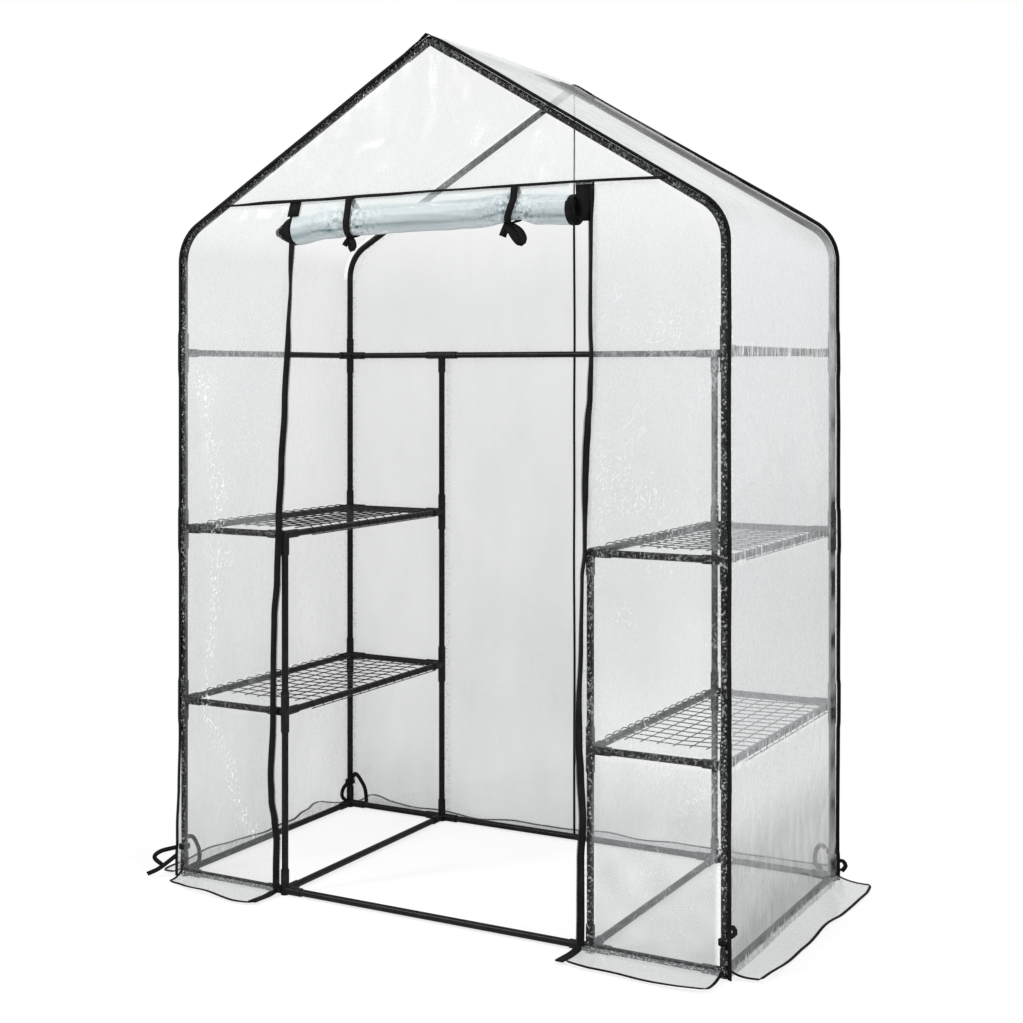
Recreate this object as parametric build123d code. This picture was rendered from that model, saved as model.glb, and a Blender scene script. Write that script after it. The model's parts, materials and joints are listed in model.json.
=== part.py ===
from build123d import *

import math
import os

# A walk-in garden greenhouse: clear film over a push-fit steel tube frame, with four wire shelves.
# Millimetres. X runs left to right, Y from the doorway to the back, Z up from the ground.

# Frame, between tube centre lines
frame_width = 1414
frame_depth = 722
shelf_bay_width = 305
lower_shelf_height = 433
shelf_spacing = 421
mid_rail_rise = 433
eave_rise = 278
roof_rise = 423
eave_bend_radius = 100

# Tubes and connectors
tube_diameter = 16
tube_wall = 1
sleeve_wall = 1.8
sleeve_reach = 48
apex_sleeve_reach = 70
socket_clearance = 0.2
socket_web = 1
tube_end_gap = 0.3
hub_step = 0.5
foot_drop = 1
cut_overrun = 5

# Wire shelves
wire_size = 2
wire_pitch = 40
wire_seat_gap = 0.3
wire_weld = 0.5
wire_overhang = 8
hook_drop = 13
mesh_front_gap = 100
mesh_back_gap = 62

# Film cover
film_thickness = 1
film_clearance = 0.3
skirt_width = 105
skirt_slit = 4

# Tapes sewn to the cover
tape_thickness = 2
tape_clearance = 0.2
binding_width = 8
header_rise = 75
header_width = 10
seam_width = 6
zip_width = 16
zip_top_width = 34
zip_top_height = 75

# Rolled-up door and ties
roll_diameter = 72
roll_hang = 58
roll_forward = 22
roll_end_gap = 4
strap_width = 18
strap_thickness = 1.5
strap_clearance = 0.3
strap_inset = 155
corner_tie_width = 15
corner_tie_rise = 6

# Places that follow from the sizes
tube_radius = tube_diameter / 2
socket_radius = tube_radius + socket_clearance
sleeve_radius = socket_radius + sleeve_wall
socket_floor = socket_radius + socket_web
tube_trim = socket_floor + tube_end_gap

right = frame_width / 2
left = -right
back = frame_depth / 2
front = -back
inner_right = right - shelf_bay_width
inner_left = -inner_right

base = sleeve_radius + foot_drop
lower = lower_shelf_height
upper = lower + shelf_spacing
mid = upper + mid_rail_rise
eave = mid + eave_rise
ridge = eave + roof_rise
header = eave + header_rise

pitch = math.atan2(roof_rise, right)
eave_turn = math.pi / 2 - pitch
wall_top = eave - eave_bend_radius * math.tan(eave_turn / 2)

hook_reach = tube_radius + wire_seat_gap + wire_size
film_inside = max(sleeve_radius, hook_reach) + film_clearance
film_outside = film_inside + film_thickness

# Directions
to_right = Vector(1, 0, 0)
to_left = Vector(-1, 0, 0)
to_back = Vector(0, 1, 0)
to_front = Vector(0, -1, 0)
upward = Vector(0, 0, 1)
downward = Vector(0, 0, -1)
down_right = Vector(math.cos(pitch), 0, -math.sin(pitch))
down_left = Vector(-math.cos(pitch), 0, -math.sin(pitch))


def save(name, solids):
    """Writes one sub-part, whose solids don't touch each other."""
    export_step(Compound(children=list(solids)), f"parts/{name}.step")


def tube_section(start, direction):
    ring = Circle(tube_radius) - Circle(tube_radius - tube_wall)
    return Plane(origin=start, z_dir=direction) * ring


def tube(start, end):
    """A straight tube between two joint centres, seated in the sockets at both ends."""
    run = Vector(*end) - Vector(*start)
    direction = run.normalized()
    seat = Vector(*start) + direction * tube_trim
    return extrude(tube_section(seat, direction), amount=run.length - 2 * tube_trim)


def tube_run(points):
    """Tubes from each joint centre to the next."""
    return [tube(start, end) for start, end in zip(points, points[1:])]


def rafter(side, y):
    """A tube that rises from the mid rail, bends round the eave and climbs to the apex."""
    slope = down_right if side > 0 else down_left
    start = Vector(side, y, mid + tube_trim)
    corner = Vector(side, y, eave)
    end = Vector(0, y, ridge) + slope * tube_trim
    path = FilletPolyline(start, corner, end, radius=eave_bend_radius)
    return sweep(tube_section(start, upward), path=path)


def rod(start, direction, radius, length):
    return extrude(Plane(origin=start, z_dir=direction) * Circle(radius), amount=length)


def connector(centre, arms, reach=sleeve_reach, foot=0):
    """A moulded fitting with a blind socket along each arm, and a foot below the hub where one is given."""
    centre = Vector(*centre)
    body = Pos(centre) * Sphere(sleeve_radius - hub_step)
    for place, arm in enumerate(arms):
        if -arm in arms[:place]:
            continue
        tail = reach if -arm in arms else foot if arm == upward else 0
        body += rod(centre - arm * tail, arm, sleeve_radius, tail + reach)
    for arm in arms:
        depth = reach - socket_floor + cut_overrun
        body -= rod(centre + arm * socket_floor, arm, socket_radius, depth)
    return body


def shelf_mesh():
    """Welded wire mesh hooked over two long rails, one along X = 0 and one at X = shelf_bay_width."""
    top = tube_radius + wire_seat_gap
    mesh_left = -hook_reach
    mesh_right = shelf_bay_width + hook_reach
    hook = top + wire_size + hook_drop
    hook_places = (mesh_left + wire_size / 2, mesh_right - wire_size / 2)
    span = window(mesh_left, mesh_right, top, top + wire_size)
    for edge in hook_places:
        span += Pos(edge, top + wire_size - hook / 2) * Rectangle(wire_size, hook)
    first = front + mesh_front_gap
    gaps = int((frame_depth - mesh_front_gap - mesh_back_gap) // wire_pitch)
    last = first + gaps * wire_pitch
    mesh = Part()
    for step in range(gaps + 1):
        y = first + step * wire_pitch
        mesh += upright(span, y - wire_size / 2, y + wire_size / 2)
    near = first - wire_overhang
    far = last + wire_overhang
    lanes = round(shelf_bay_width / wire_pitch)
    for lane in range(1, lanes):
        wire_x = lane * shelf_bay_width / lanes
        wire = Pos(wire_x, top + wire_weld - wire_size / 2) * Rectangle(wire_size, wire_size)
        mesh += upright(wire, near, far)
    for edge in hook_places:
        wire = Pos(edge, top + wire_size - hook + wire_size / 2) * Rectangle(wire_size, wire_size)
        mesh += upright(wire, near, far)
    return mesh


def upright(face, near, far):
    """A face drawn in X and Z, made a slab from Y = near to Y = far."""
    plane = Plane(origin=(0, far, 0), x_dir=(1, 0, 0), z_dir=(0, -1, 0))
    return extrude(plane * face, amount=far - near)


def window(x_from, x_to, z_from, z_to):
    """A rectangle in X and Z."""
    return Pos((x_from + x_to) / 2, (z_from + z_to) / 2) * Rectangle(x_to - x_from, z_to - z_from)


def outline(offset):
    """The frame seen from the front, down to the ground, grown outward from the tube centre lines."""
    half = right + offset
    corner = eave + offset * (1 - math.sin(pitch)) / math.cos(pitch)
    top = ridge + offset / math.cos(pitch)
    points = ((-half, 0), (half, 0), (half, corner), (0, top), (-half, corner))
    face = make_face(Polyline(*points, close=True))
    return fillet(face.vertices().group_by(Axis.Y)[1], radius=eave_bend_radius + offset)


def arch(inside, outside, z_from, z_to, x_from, x_to):
    """The part of a band round the frame's outline that lies in a window."""
    return (outline(outside) - outline(inside)) & window(x_from, x_to, z_from, z_to)


os.makedirs("parts", exist_ok=True)

outer_posts = [("left", left), ("right", right)]
ends = [("front", front), ("back", back)]
bays = [("left", left, inner_left), ("right", inner_right, right)]
shelves = [("lower", lower), ("upper", upper)]

# Corner posts
for end_name, y in ends:
    for side_name, x in outer_posts:
        heights = (base, lower, upper, mid)
        save(f"{end_name}_{side_name}_post", tube_run([(x, y, z) for z in heights]))

# Shelf posts beside the aisle
inner_heights = {front: (base, lower, upper), back: (base, lower, upper, mid)}
for end_name, y in ends:
    posts = []
    for x in (inner_left, inner_right):
        posts += tube_run([(x, y, z) for z in inner_heights[y]])
    save(f"{end_name}_inner_posts", posts)

# Roof tubes
for end_name, y in ends:
    save(f"{end_name}_rafters", [rafter(left, y), rafter(right, y)])
save("ridge_tube", [tube((0, front, ridge), (0, back, ridge))])

# Base rails
columns = (left, inner_left, inner_right, right)
for end_name, y in ends:
    save(f"base_{end_name}_rail", tube_run([(x, y, base) for x in columns]))
save("base_side_rails", [tube((x, front, base), (x, back, base)) for x in (left, right)])
save("base_cross_rails", [tube((x, front, base), (x, back, base)) for x in (inner_left, inner_right)])

# Mid rails
save("mid_back_rail", tube_run([(x, back, mid) for x in columns]))
save("mid_side_rails", [tube((x, front, mid), (x, back, mid)) for x in (left, right)])

# Shelf rails and meshes
mesh = shelf_mesh()
for bay_name, x_from, x_to in bays:
    for shelf_name, z in shelves:
        rails = [tube((x, front, z), (x, back, z)) for x in (x_from, x_to)]
        rails += [tube((x_from, y, z), (x_to, y, z)) for y in (front, back)]
        save(f"{bay_name}_{shelf_name}_shelf_rails", rails)
        save(f"{bay_name}_{shelf_name}_shelf_mesh", [Pos(x_from, 0, z) * mesh])

# Connectors
inward = {front: to_back, back: to_front}
base_fittings = []
for y, along in inward.items():
    base_fittings.append(connector((left, y, base), [upward, to_right, along], foot=base))
    base_fittings.append(connector((right, y, base), [upward, to_left, along], foot=base))
    for x in (inner_left, inner_right):
        base_fittings.append(connector((x, y, base), [upward, to_left, to_right, along], foot=base))
save("base_connectors", base_fittings)

for shelf_name, z in shelves:
    fittings = []
    for y, along in inward.items():
        ends_here = shelf_name == "upper" and y == front
        inner_arms = [downward] if ends_here else [upward, downward]
        fittings.append(connector((left, y, z), [upward, downward, to_right, along]))
        fittings.append(connector((right, y, z), [upward, downward, to_left, along]))
        fittings.append(connector((inner_left, y, z), inner_arms + [to_left, along]))
        fittings.append(connector((inner_right, y, z), inner_arms + [to_right, along]))
    save(f"{shelf_name}_shelf_connectors", fittings)

mid_fittings = [connector((x, front, mid), [upward, downward, to_back]) for x in (left, right)]
mid_fittings.append(connector((left, back, mid), [upward, downward, to_front, to_right]))
mid_fittings.append(connector((right, back, mid), [upward, downward, to_front, to_left]))
mid_fittings += [connector((x, back, mid), [to_left, to_right, downward]) for x in (inner_left, inner_right)]
save("mid_rail_connectors", mid_fittings)

apex_fittings = [
    connector((0, y, ridge), [down_left, down_right, along], apex_sleeve_reach) for y, along in inward.items()
]
save("apex_connectors", apex_fittings)

# Film over the walls and the roof, from the front panels to the back panel
reach = right + film_outside
top = ridge + roof_rise
for side_name, x_from, x_to in (("left", -reach, 0), ("right", 0, reach)):
    wall = arch(film_inside, film_outside, film_thickness, wall_top, x_from, x_to)
    roof = arch(film_inside, film_outside, wall_top, top, x_from, x_to)
    save(f"cover_{side_name}_wall", [upright(wall, front - film_inside, back + film_inside)])
    save(f"cover_{side_name}_roof", [upright(roof, front - film_inside, back + film_inside)])

# Film over the back and the front, with the doorway left open
back_face = outline(film_outside) & window(-reach, reach, film_thickness, top)
save("cover_back_panel", [upright(back_face, back + film_inside, back + film_outside)])

header_low = header - header_width / 2
header_high = header + header_width / 2
zip_outer = inner_right + zip_width / 2
zip_inner = inner_right - zip_width / 2
front_outside = front - film_outside
front_inside = front - film_inside
gable = outline(film_outside) & window(-reach, reach, header_high, top)
save("cover_front_gable", [upright(gable, front_outside, front_inside)])
for side_name, x_from, x_to in (("left", -reach, -zip_outer), ("right", zip_outer, reach)):
    panel = outline(film_outside) & window(x_from, x_to, film_thickness, header_low)
    save(f"cover_front_{side_name}_panel", [upright(panel, front_outside, front_inside)])

# Flaps on the ground, slit at the corners and open at the doorway
flap_side = front - film_inside + skirt_slit
front_flap_places = ((-reach, -zip_inner), (zip_inner, reach))
flaps = [
    Pos((x_from + x_to) / 2, front_inside - skirt_width / 2) * Rectangle(x_to - x_from, skirt_width)
    for x_from, x_to in front_flap_places
]
flaps.append(Pos(0, back + film_inside + skirt_width / 2) * Rectangle(2 * reach, skirt_width))
for side in (-1, 1):
    flap_x = side * (right + film_inside + skirt_width / 2)
    flaps.append(Pos(flap_x, 0) * Rectangle(skirt_width, -2 * flap_side))
save("ground_skirt", [extrude(flap, amount=film_thickness) for flap in flaps])

# Tapes sewn along the edges
bound_inside = film_outside - binding_width
tape_low = film_thickness + tape_clearance
binding = arch(bound_inside, film_outside, tape_low, top, -reach, reach)
save("front_binding", [upright(binding, front_outside - tape_thickness, front_outside)])
save("back_binding", [upright(binding, back + film_outside, back + film_outside + tape_thickness)])

header_face = outline(bound_inside - tape_clearance) & window(-reach, reach, header_low, header_high)
save("door_header", [upright(header_face, front_inside - tape_thickness, front_inside)])

seam = window(-seam_width / 2, seam_width / 2, film_thickness, ridge)
save("back_centre_seam", [upright(seam, back + film_outside, back + film_outside + tape_thickness)])

# Each zip is wider at its top, where its two halves are still closed
zip_top_inner = zip_outer - zip_top_width
zip_top_low = header_low - zip_top_height
right_zip = window(zip_inner, zip_outer, film_thickness, header_low)
right_zip += window(zip_top_inner, zip_outer, zip_top_low, header_low)
zip_faces = [right_zip, mirror(right_zip, about=Plane.YZ)]
save("door_zips", [upright(face, front_inside - tape_thickness, front_inside) for face in zip_faces])

# Rolled-up door, drawn in Y and Z: the roll and the stretch of film that leads down to its front
roll_radius = roll_diameter / 2
roll_y = front_outside - roll_forward + roll_radius
roll_z = header_low - roll_hang
roll_set_back = roll_y - front_outside
roll_away = math.hypot(roll_set_back, roll_hang)
touch_radius = roll_radius - film_thickness / 2
hang_lean = math.asin(touch_radius / roll_away) - math.atan2(roll_set_back, roll_hang)
hang_length = math.sqrt(roll_away**2 - touch_radius**2)
touch_y = front_outside - hang_length * math.sin(hang_lean)
touch_z = header_low - hang_length * math.cos(hang_lean)
hang_points = [
    (front_outside, header_low),
    (touch_y, touch_z),
    (touch_y + film_thickness * math.cos(hang_lean), touch_z - film_thickness * math.sin(hang_lean)),
    (front_inside, header_low),
]
hang = make_face(Polyline(*hang_points, close=True))
roll_face = Pos(roll_y, roll_z) * Circle(roll_radius) + hang
side_plane = Plane(origin=(0, 0, 0), x_dir=(0, 1, 0), z_dir=(1, 0, 0))


def along_x(face, x_from, x_to):
    """A face drawn in Y and Z, made solid from one X to another."""
    return Pos(x_from, 0, 0) * extrude(side_plane * face, amount=x_to - x_from)


roll_end = zip_top_inner - roll_end_gap
save("door_roll", [along_x(roll_face, -roll_end, roll_end)])

# Ties that run down from the header, round the roll and up again
strap_outer = offset(roll_face, amount=strap_clearance + strap_thickness)
strap_inner = offset(roll_face, amount=strap_clearance)
below_header = window(roll_y - roll_diameter, back, roll_z - roll_diameter, header_low)
strap = (strap_outer - strap_inner) & below_header
strap_places = (strap_inset - roll_end, roll_end - strap_inset)
straps = [along_x(strap, x - strap_width / 2, x + strap_width / 2) for x in strap_places]
save("door_ties", straps)

# Ties round the foot of each corner post, just above the base connector
tie_low = base + sleeve_reach + corner_tie_rise
tie_ring = Circle(tube_radius + strap_clearance + strap_thickness) - Circle(tube_radius + strap_clearance)
corner_places = [(x, y) for x in (left, right) for y in (front, back)]
corner_tie = Pos(0, 0, tie_low) * extrude(tie_ring, amount=corner_tie_width)
save("corner_ties", [Pos(x, y, 0) * corner_tie for x, y in corner_places])
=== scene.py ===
import json
import math

import bpy
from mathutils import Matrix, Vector, noise


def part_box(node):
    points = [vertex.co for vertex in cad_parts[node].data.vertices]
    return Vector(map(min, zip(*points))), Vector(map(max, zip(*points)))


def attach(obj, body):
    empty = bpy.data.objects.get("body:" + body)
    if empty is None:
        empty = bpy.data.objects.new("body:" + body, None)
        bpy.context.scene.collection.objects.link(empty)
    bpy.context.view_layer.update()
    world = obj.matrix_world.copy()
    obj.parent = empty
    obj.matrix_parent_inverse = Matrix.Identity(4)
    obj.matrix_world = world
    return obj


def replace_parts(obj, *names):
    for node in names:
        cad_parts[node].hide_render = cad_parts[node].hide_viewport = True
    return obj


# A walk-in film greenhouse, dressed in metres in the frame of its solids: X right, Y to the back, Z up.
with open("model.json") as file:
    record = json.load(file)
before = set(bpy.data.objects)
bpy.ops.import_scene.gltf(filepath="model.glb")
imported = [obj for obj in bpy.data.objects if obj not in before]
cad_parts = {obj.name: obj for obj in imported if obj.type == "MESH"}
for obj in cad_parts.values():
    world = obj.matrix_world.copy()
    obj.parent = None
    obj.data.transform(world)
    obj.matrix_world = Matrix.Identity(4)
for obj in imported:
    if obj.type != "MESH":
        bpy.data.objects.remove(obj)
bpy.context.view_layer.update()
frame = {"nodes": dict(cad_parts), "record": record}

BODY = "root"
ALONG_X = Vector((1.0, 0.0, 0.0))
ALONG_Y = Vector((0.0, 1.0, 0.0))
UP = Vector((0.0, 0.0, 1.0))


# Places read from the frame
def centre(node):
    low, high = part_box(node)
    return (low + high) / 2


LEFT = centre("front_left_post").x
RIGHT = centre("front_right_post").x
FRONT = centre("front_left_post").y
BACK = centre("back_left_post").y
BASE = centre("base_front_rail").z
LOWER = centre("left_lower_shelf_rails").z
UPPER = centre("left_upper_shelf_rails").z
MID = centre("mid_back_rail").z
HEADER = centre("door_header").z
TUBE_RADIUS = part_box("front_right_post")[1].x - RIGHT
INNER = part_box("front_inner_posts")[1].x - TUBE_RADIUS
FILM_SIDE = centre("cover_right_wall").x
FILM_FRONT = centre("cover_front_gable").y
FILM_BACK = centre("cover_back_panel").y
WALL_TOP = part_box("cover_right_wall")[1].z
FILM_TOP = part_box("cover_right_roof")[1].z
SKIRT_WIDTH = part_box("ground_skirt")[1].x - FILM_SIDE
TIE_TAPE = 0.018
TIE_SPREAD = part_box("door_ties")[1].x - TIE_TAPE / 2

# The frame's outline as the film follows it: a wall, a bend at the eave and a straight slope to the ridge
EAVE_RADIUS = 0.111
bend_x = FILM_SIDE - EAVE_RADIUS
rise = FILM_TOP - WALL_TOP
PITCH = math.atan2(rise, bend_x) - math.asin(EAVE_RADIUS / math.hypot(bend_x, rise))
EAVE_TURN = math.pi / 2 - PITCH
SLOPE_LOW = WALL_TOP + EAVE_RADIUS * math.sin(EAVE_TURN)
SLOPE_LENGTH = (FILM_TOP - SLOPE_LOW) / math.sin(PITCH)
BEND_LENGTH = EAVE_RADIUS * EAVE_TURN
HALF_LENGTH = WALL_TOP + BEND_LENGTH + SLOPE_LENGTH


def outline_point(along):
    """Place and outward normal, in X and Z, on the right half of the outline, that far from the ground."""
    if along <= WALL_TOP:
        return FILM_SIDE, along, 1.0, 0.0
    if along <= WALL_TOP + BEND_LENGTH:
        turn = (along - WALL_TOP) / EAVE_RADIUS
        out_x, out_z = math.cos(turn), math.sin(turn)
        return bend_x + EAVE_RADIUS * out_x, WALL_TOP + EAVE_RADIUS * out_z, out_x, out_z
    climb = along - WALL_TOP - BEND_LENGTH
    foot_x = bend_x + EAVE_RADIUS * math.cos(EAVE_TURN)
    x = foot_x - climb * math.cos(PITCH)
    return x, SLOPE_LOW + climb * math.sin(PITCH), math.sin(PITCH), math.cos(PITCH)


def whole_outline(along):
    """The same from the left foot over the ridge to the right foot."""
    if along <= HALF_LENGTH:
        x, z, out_x, out_z = outline_point(along)
        return -x, z, -out_x, out_z
    return outline_point(2 * HALF_LENGTH - along)


def half_width(z):
    """How far the outline reaches from the middle at a height."""
    if z <= WALL_TOP:
        return FILM_SIDE
    if z <= SLOPE_LOW:
        return bend_x + math.sqrt(max(EAVE_RADIUS**2 - (z - WALL_TOP) ** 2, 0.0))
    return max((FILM_TOP - z) / math.tan(PITCH), 0.0)


def steps(low, high, size):
    """Evenly spaced values from low to high, about size apart."""
    count = max(int(round(abs(high - low) / size)), 1)
    return [low + (high - low) * i / count for i in range(count + 1)]


def between(table, value):
    """A value read from a table of (place, value) pairs, eased from each place to the next."""
    if value <= table[0][0]:
        return table[0][1]
    for (start, first), (end, second) in zip(table, table[1:]):
        if value <= end:
            share = (value - start) / (end - start)
            return first + (second - first) * share * share * (3 - 2 * share)
    return table[-1][1]


def wobble(*place):
    """Smooth noise, about -1 to 1; a bare number among the places is a seed."""
    return noise.noise(Vector(place))


# Meshes
STEEP_SHARE = 0.1


class Builder:
    """Collects the vertices and faces of one piece."""

    def __init__(self):
        self.vertices = []
        self.faces = []

    def grid(self, rows, closed=False):
        """A sheet from rows of points, each row as long as the next."""
        start = len(self.vertices)
        width = len(rows[0])
        for row in rows:
            self.vertices.extend(row)
        for r in range(len(rows) - 1):
            for c in range(width if closed else width - 1):
                a = start + r * width + c
                b = start + r * width + (c + 1) % width
                self.faces.append((a, b, b + width, a + width))

    def closed_rows(self, rows):
        """A solid from closed rings, with its two ends filled."""
        start = len(self.vertices)
        width = len(rows[0])
        self.grid(rows, closed=True)
        last = start + width * (len(rows) - 1)
        self.faces.append(tuple(reversed(range(start, start + width))))
        self.faces.append(tuple(range(last, last + width)))

    def strip(self, path, across, width, thickness):
        """A flat tape along a path, with a width direction at each point; width may be a list."""
        widths = width if isinstance(width, list) else [width] * len(path)
        rows = []
        for i, point in enumerate(path):
            ahead = path[min(i + 1, len(path) - 1)] - path[max(i - 1, 0)]
            side = across[i].normalized()
            normal = ahead.cross(side).normalized()
            half = side * (widths[i] / 2)
            thick = normal * (thickness / 2)
            rows.append([
                point - half - thick, point + half - thick,
                point + half + thick, point - half + thick,
            ])
        self.closed_rows(rows)

    def wire(self, path, radius, sides=8):
        """A round wire along a path."""
        rows = []
        guide = UP
        for i, point in enumerate(path):
            ahead = (path[min(i + 1, len(path) - 1)] - path[max(i - 1, 0)]).normalized()
            side = ahead.cross(guide)
            if side.length < STEEP_SHARE:
                side = ahead.cross(ALONG_Y)
            side.normalize()
            guide = side.cross(ahead)
            ring = []
            for k in range(sides):
                turn = 2 * math.pi * k / sides
                ring.append(point + (side * math.cos(turn) + guide * math.sin(turn)) * radius)
            rows.append(ring)
        self.closed_rows(rows)

    def piece(self, name, material, slot, smooth=True):
        mesh = bpy.data.meshes.new(name)
        mesh.from_pydata([tuple(v) for v in self.vertices], [], self.faces)
        mesh.validate()
        mesh.update()
        mesh.polygons.foreach_set("use_smooth", [smooth] * len(mesh.polygons))
        piece = bpy.data.objects.new(name, mesh)
        bpy.context.collection.objects.link(piece)
        mesh.materials.append(material)
        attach(piece, BODY)
        return piece


def smooth_path(points, size):
    """A rounded path through a few points (a Catmull-Rom curve), in steps of about size."""
    points = [Vector(p) for p in points]
    ends = [2 * points[0] - points[1]] + points + [2 * points[-1] - points[-2]]
    path = []
    for before, start, end, after in zip(ends, ends[1:], ends[2:], ends[3:]):
        count = max(int((end - start).length / size), 2)
        for i in range(count):
            t = i / count
            path.append(
                0.5 * (2 * start + (end - before) * t + (2 * before - 5 * start + 4 * end - after) * t**2
                       + (3 * start - before - 3 * end + after) * t**3)
            )
    path.append(points[-1])
    return path


# Materials
EVEN = (1.0, 1.0, 1.0)
BLACK = (0.0, 0.0, 0.0)
FILM_TINT = (0.94, 0.985, 1.0)
# Colour of the painted glints, white highlights painted on the film.
GLINT_TINT = (0.9, 0.92, 0.93)
FILM_BUMP = 0.003
# Ends of the roll's painted colour, which carries painted shade and highlights.
ROLL_DEEP = (0.05, 0.1, 0.115)
ROLL_PALE = (0.78, 0.83, 0.84)
ROLL_BUMP = 0.002
TAPE_DARK = (0.003, 0.003, 0.0035)
TAPE_DUSTY = (0.009, 0.009, 0.0095)
WEAVE_SCALE = 420.0
WEAVE_WARP = 1.5
WEAVE_BUMP = 0.0004
GAP_SCALE_RATIO = 1.7
GAP_FADE = 0.12


def material_nodes(name):
    material = bpy.data.materials.new(name)
    material.use_nodes = True
    tree = material.node_tree
    return material, tree, tree.nodes["Principled BSDF"]


def node(tree, kind, **values):
    made = tree.nodes.new(kind)
    for key, value in values.items():
        setattr(made, key, value)
    return made


def noise_texture(tree, coordinates, scale, detail=2.0, roughness=0.5, distortion=0.0):
    made = node(tree, "ShaderNodeTexNoise")
    made.inputs["Scale"].default_value = scale
    made.inputs["Detail"].default_value = detail
    made.inputs["Roughness"].default_value = roughness
    made.inputs["Distortion"].default_value = distortion
    tree.links.new(coordinates, made.inputs["Vector"])
    return made.outputs["Fac"]


def stretched(tree, draw, turn=(0.0, 0.0, 0.0)):
    """Object coordinates for a pattern that is turned and drawn out along its own axes."""
    place = node(tree, "ShaderNodeTexCoord")
    mapping = node(tree, "ShaderNodeMapping", vector_type="TEXTURE")
    mapping.inputs["Rotation"].default_value = turn
    mapping.inputs["Scale"].default_value = draw
    tree.links.new(place.outputs["Object"], mapping.inputs["Vector"])
    return mapping.outputs["Vector"]


def ramp(tree, value, low, high, to_low=0.0, to_high=1.0):
    made = node(tree, "ShaderNodeMapRange")
    made.inputs["From Min"].default_value = low
    made.inputs["From Max"].default_value = high
    made.inputs["To Min"].default_value = to_low
    made.inputs["To Max"].default_value = to_high
    tree.links.new(value, made.inputs["Value"])
    return made.outputs["Result"]


def maths(tree, operation, first, second=None):
    made = node(tree, "ShaderNodeMath", operation=operation)
    for socket, value in zip(made.inputs, (first, second)):
        if value is None:
            continue
        if isinstance(value, (int, float)):
            socket.default_value = value
        else:
            tree.links.new(value, socket)
    return made.outputs["Value"]


def mix_colour(tree, share, first, second):
    made = node(tree, "ShaderNodeMix", data_type="RGBA")
    colours = [socket for socket in made.inputs if socket.type == "RGBA"]
    for socket, colour in zip(colours, (first, second)):
        if isinstance(colour, tuple):
            socket.default_value = (*colour, 1.0)
        else:
            tree.links.new(colour, socket)
    tree.links.new(share, made.inputs["Factor"])
    return [socket for socket in made.outputs if socket.type == "RGBA"][0]


def bump(tree, height, strength, distance, shader):
    made = node(tree, "ShaderNodeBump")
    made.inputs["Strength"].default_value = strength
    made.inputs["Distance"].default_value = distance
    tree.links.new(height, made.inputs["Height"])
    tree.links.new(made.outputs["Normal"], shader.inputs["Normal"])


def painted(tree, name):
    """A value painted on the mesh's points."""
    return node(tree, "ShaderNodeAttribute", attribute_name=name).outputs["Fac"]


def streaks(tree, coordinates, scale, width, broken):
    """Thin crease lines: the level line of a noise, broken up by another."""
    field = noise_texture(tree, coordinates, scale, detail=2.5, roughness=0.55, distortion=0.8)
    near = maths(tree, "ABSOLUTE", maths(tree, "SUBTRACT", field, 0.5))
    line = ramp(tree, near, width, 0.0)
    gaps = noise_texture(tree, coordinates, scale * GAP_SCALE_RATIO, detail=1.0)
    return maths(tree, "MULTIPLY", line, ramp(tree, gaps, broken, broken + GAP_FADE))


def strokes(tree, lean, draw, scale, low, high):
    """Short strokes that lean to one side, from a noise drawn out along them."""
    drawn = stretched(tree, (1.0, 1.0, draw), (lean, lean, 0.0))
    field = noise_texture(tree, drawn, scale, detail=1.0, distortion=0.25)
    return ramp(tree, field, low, high)


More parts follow.
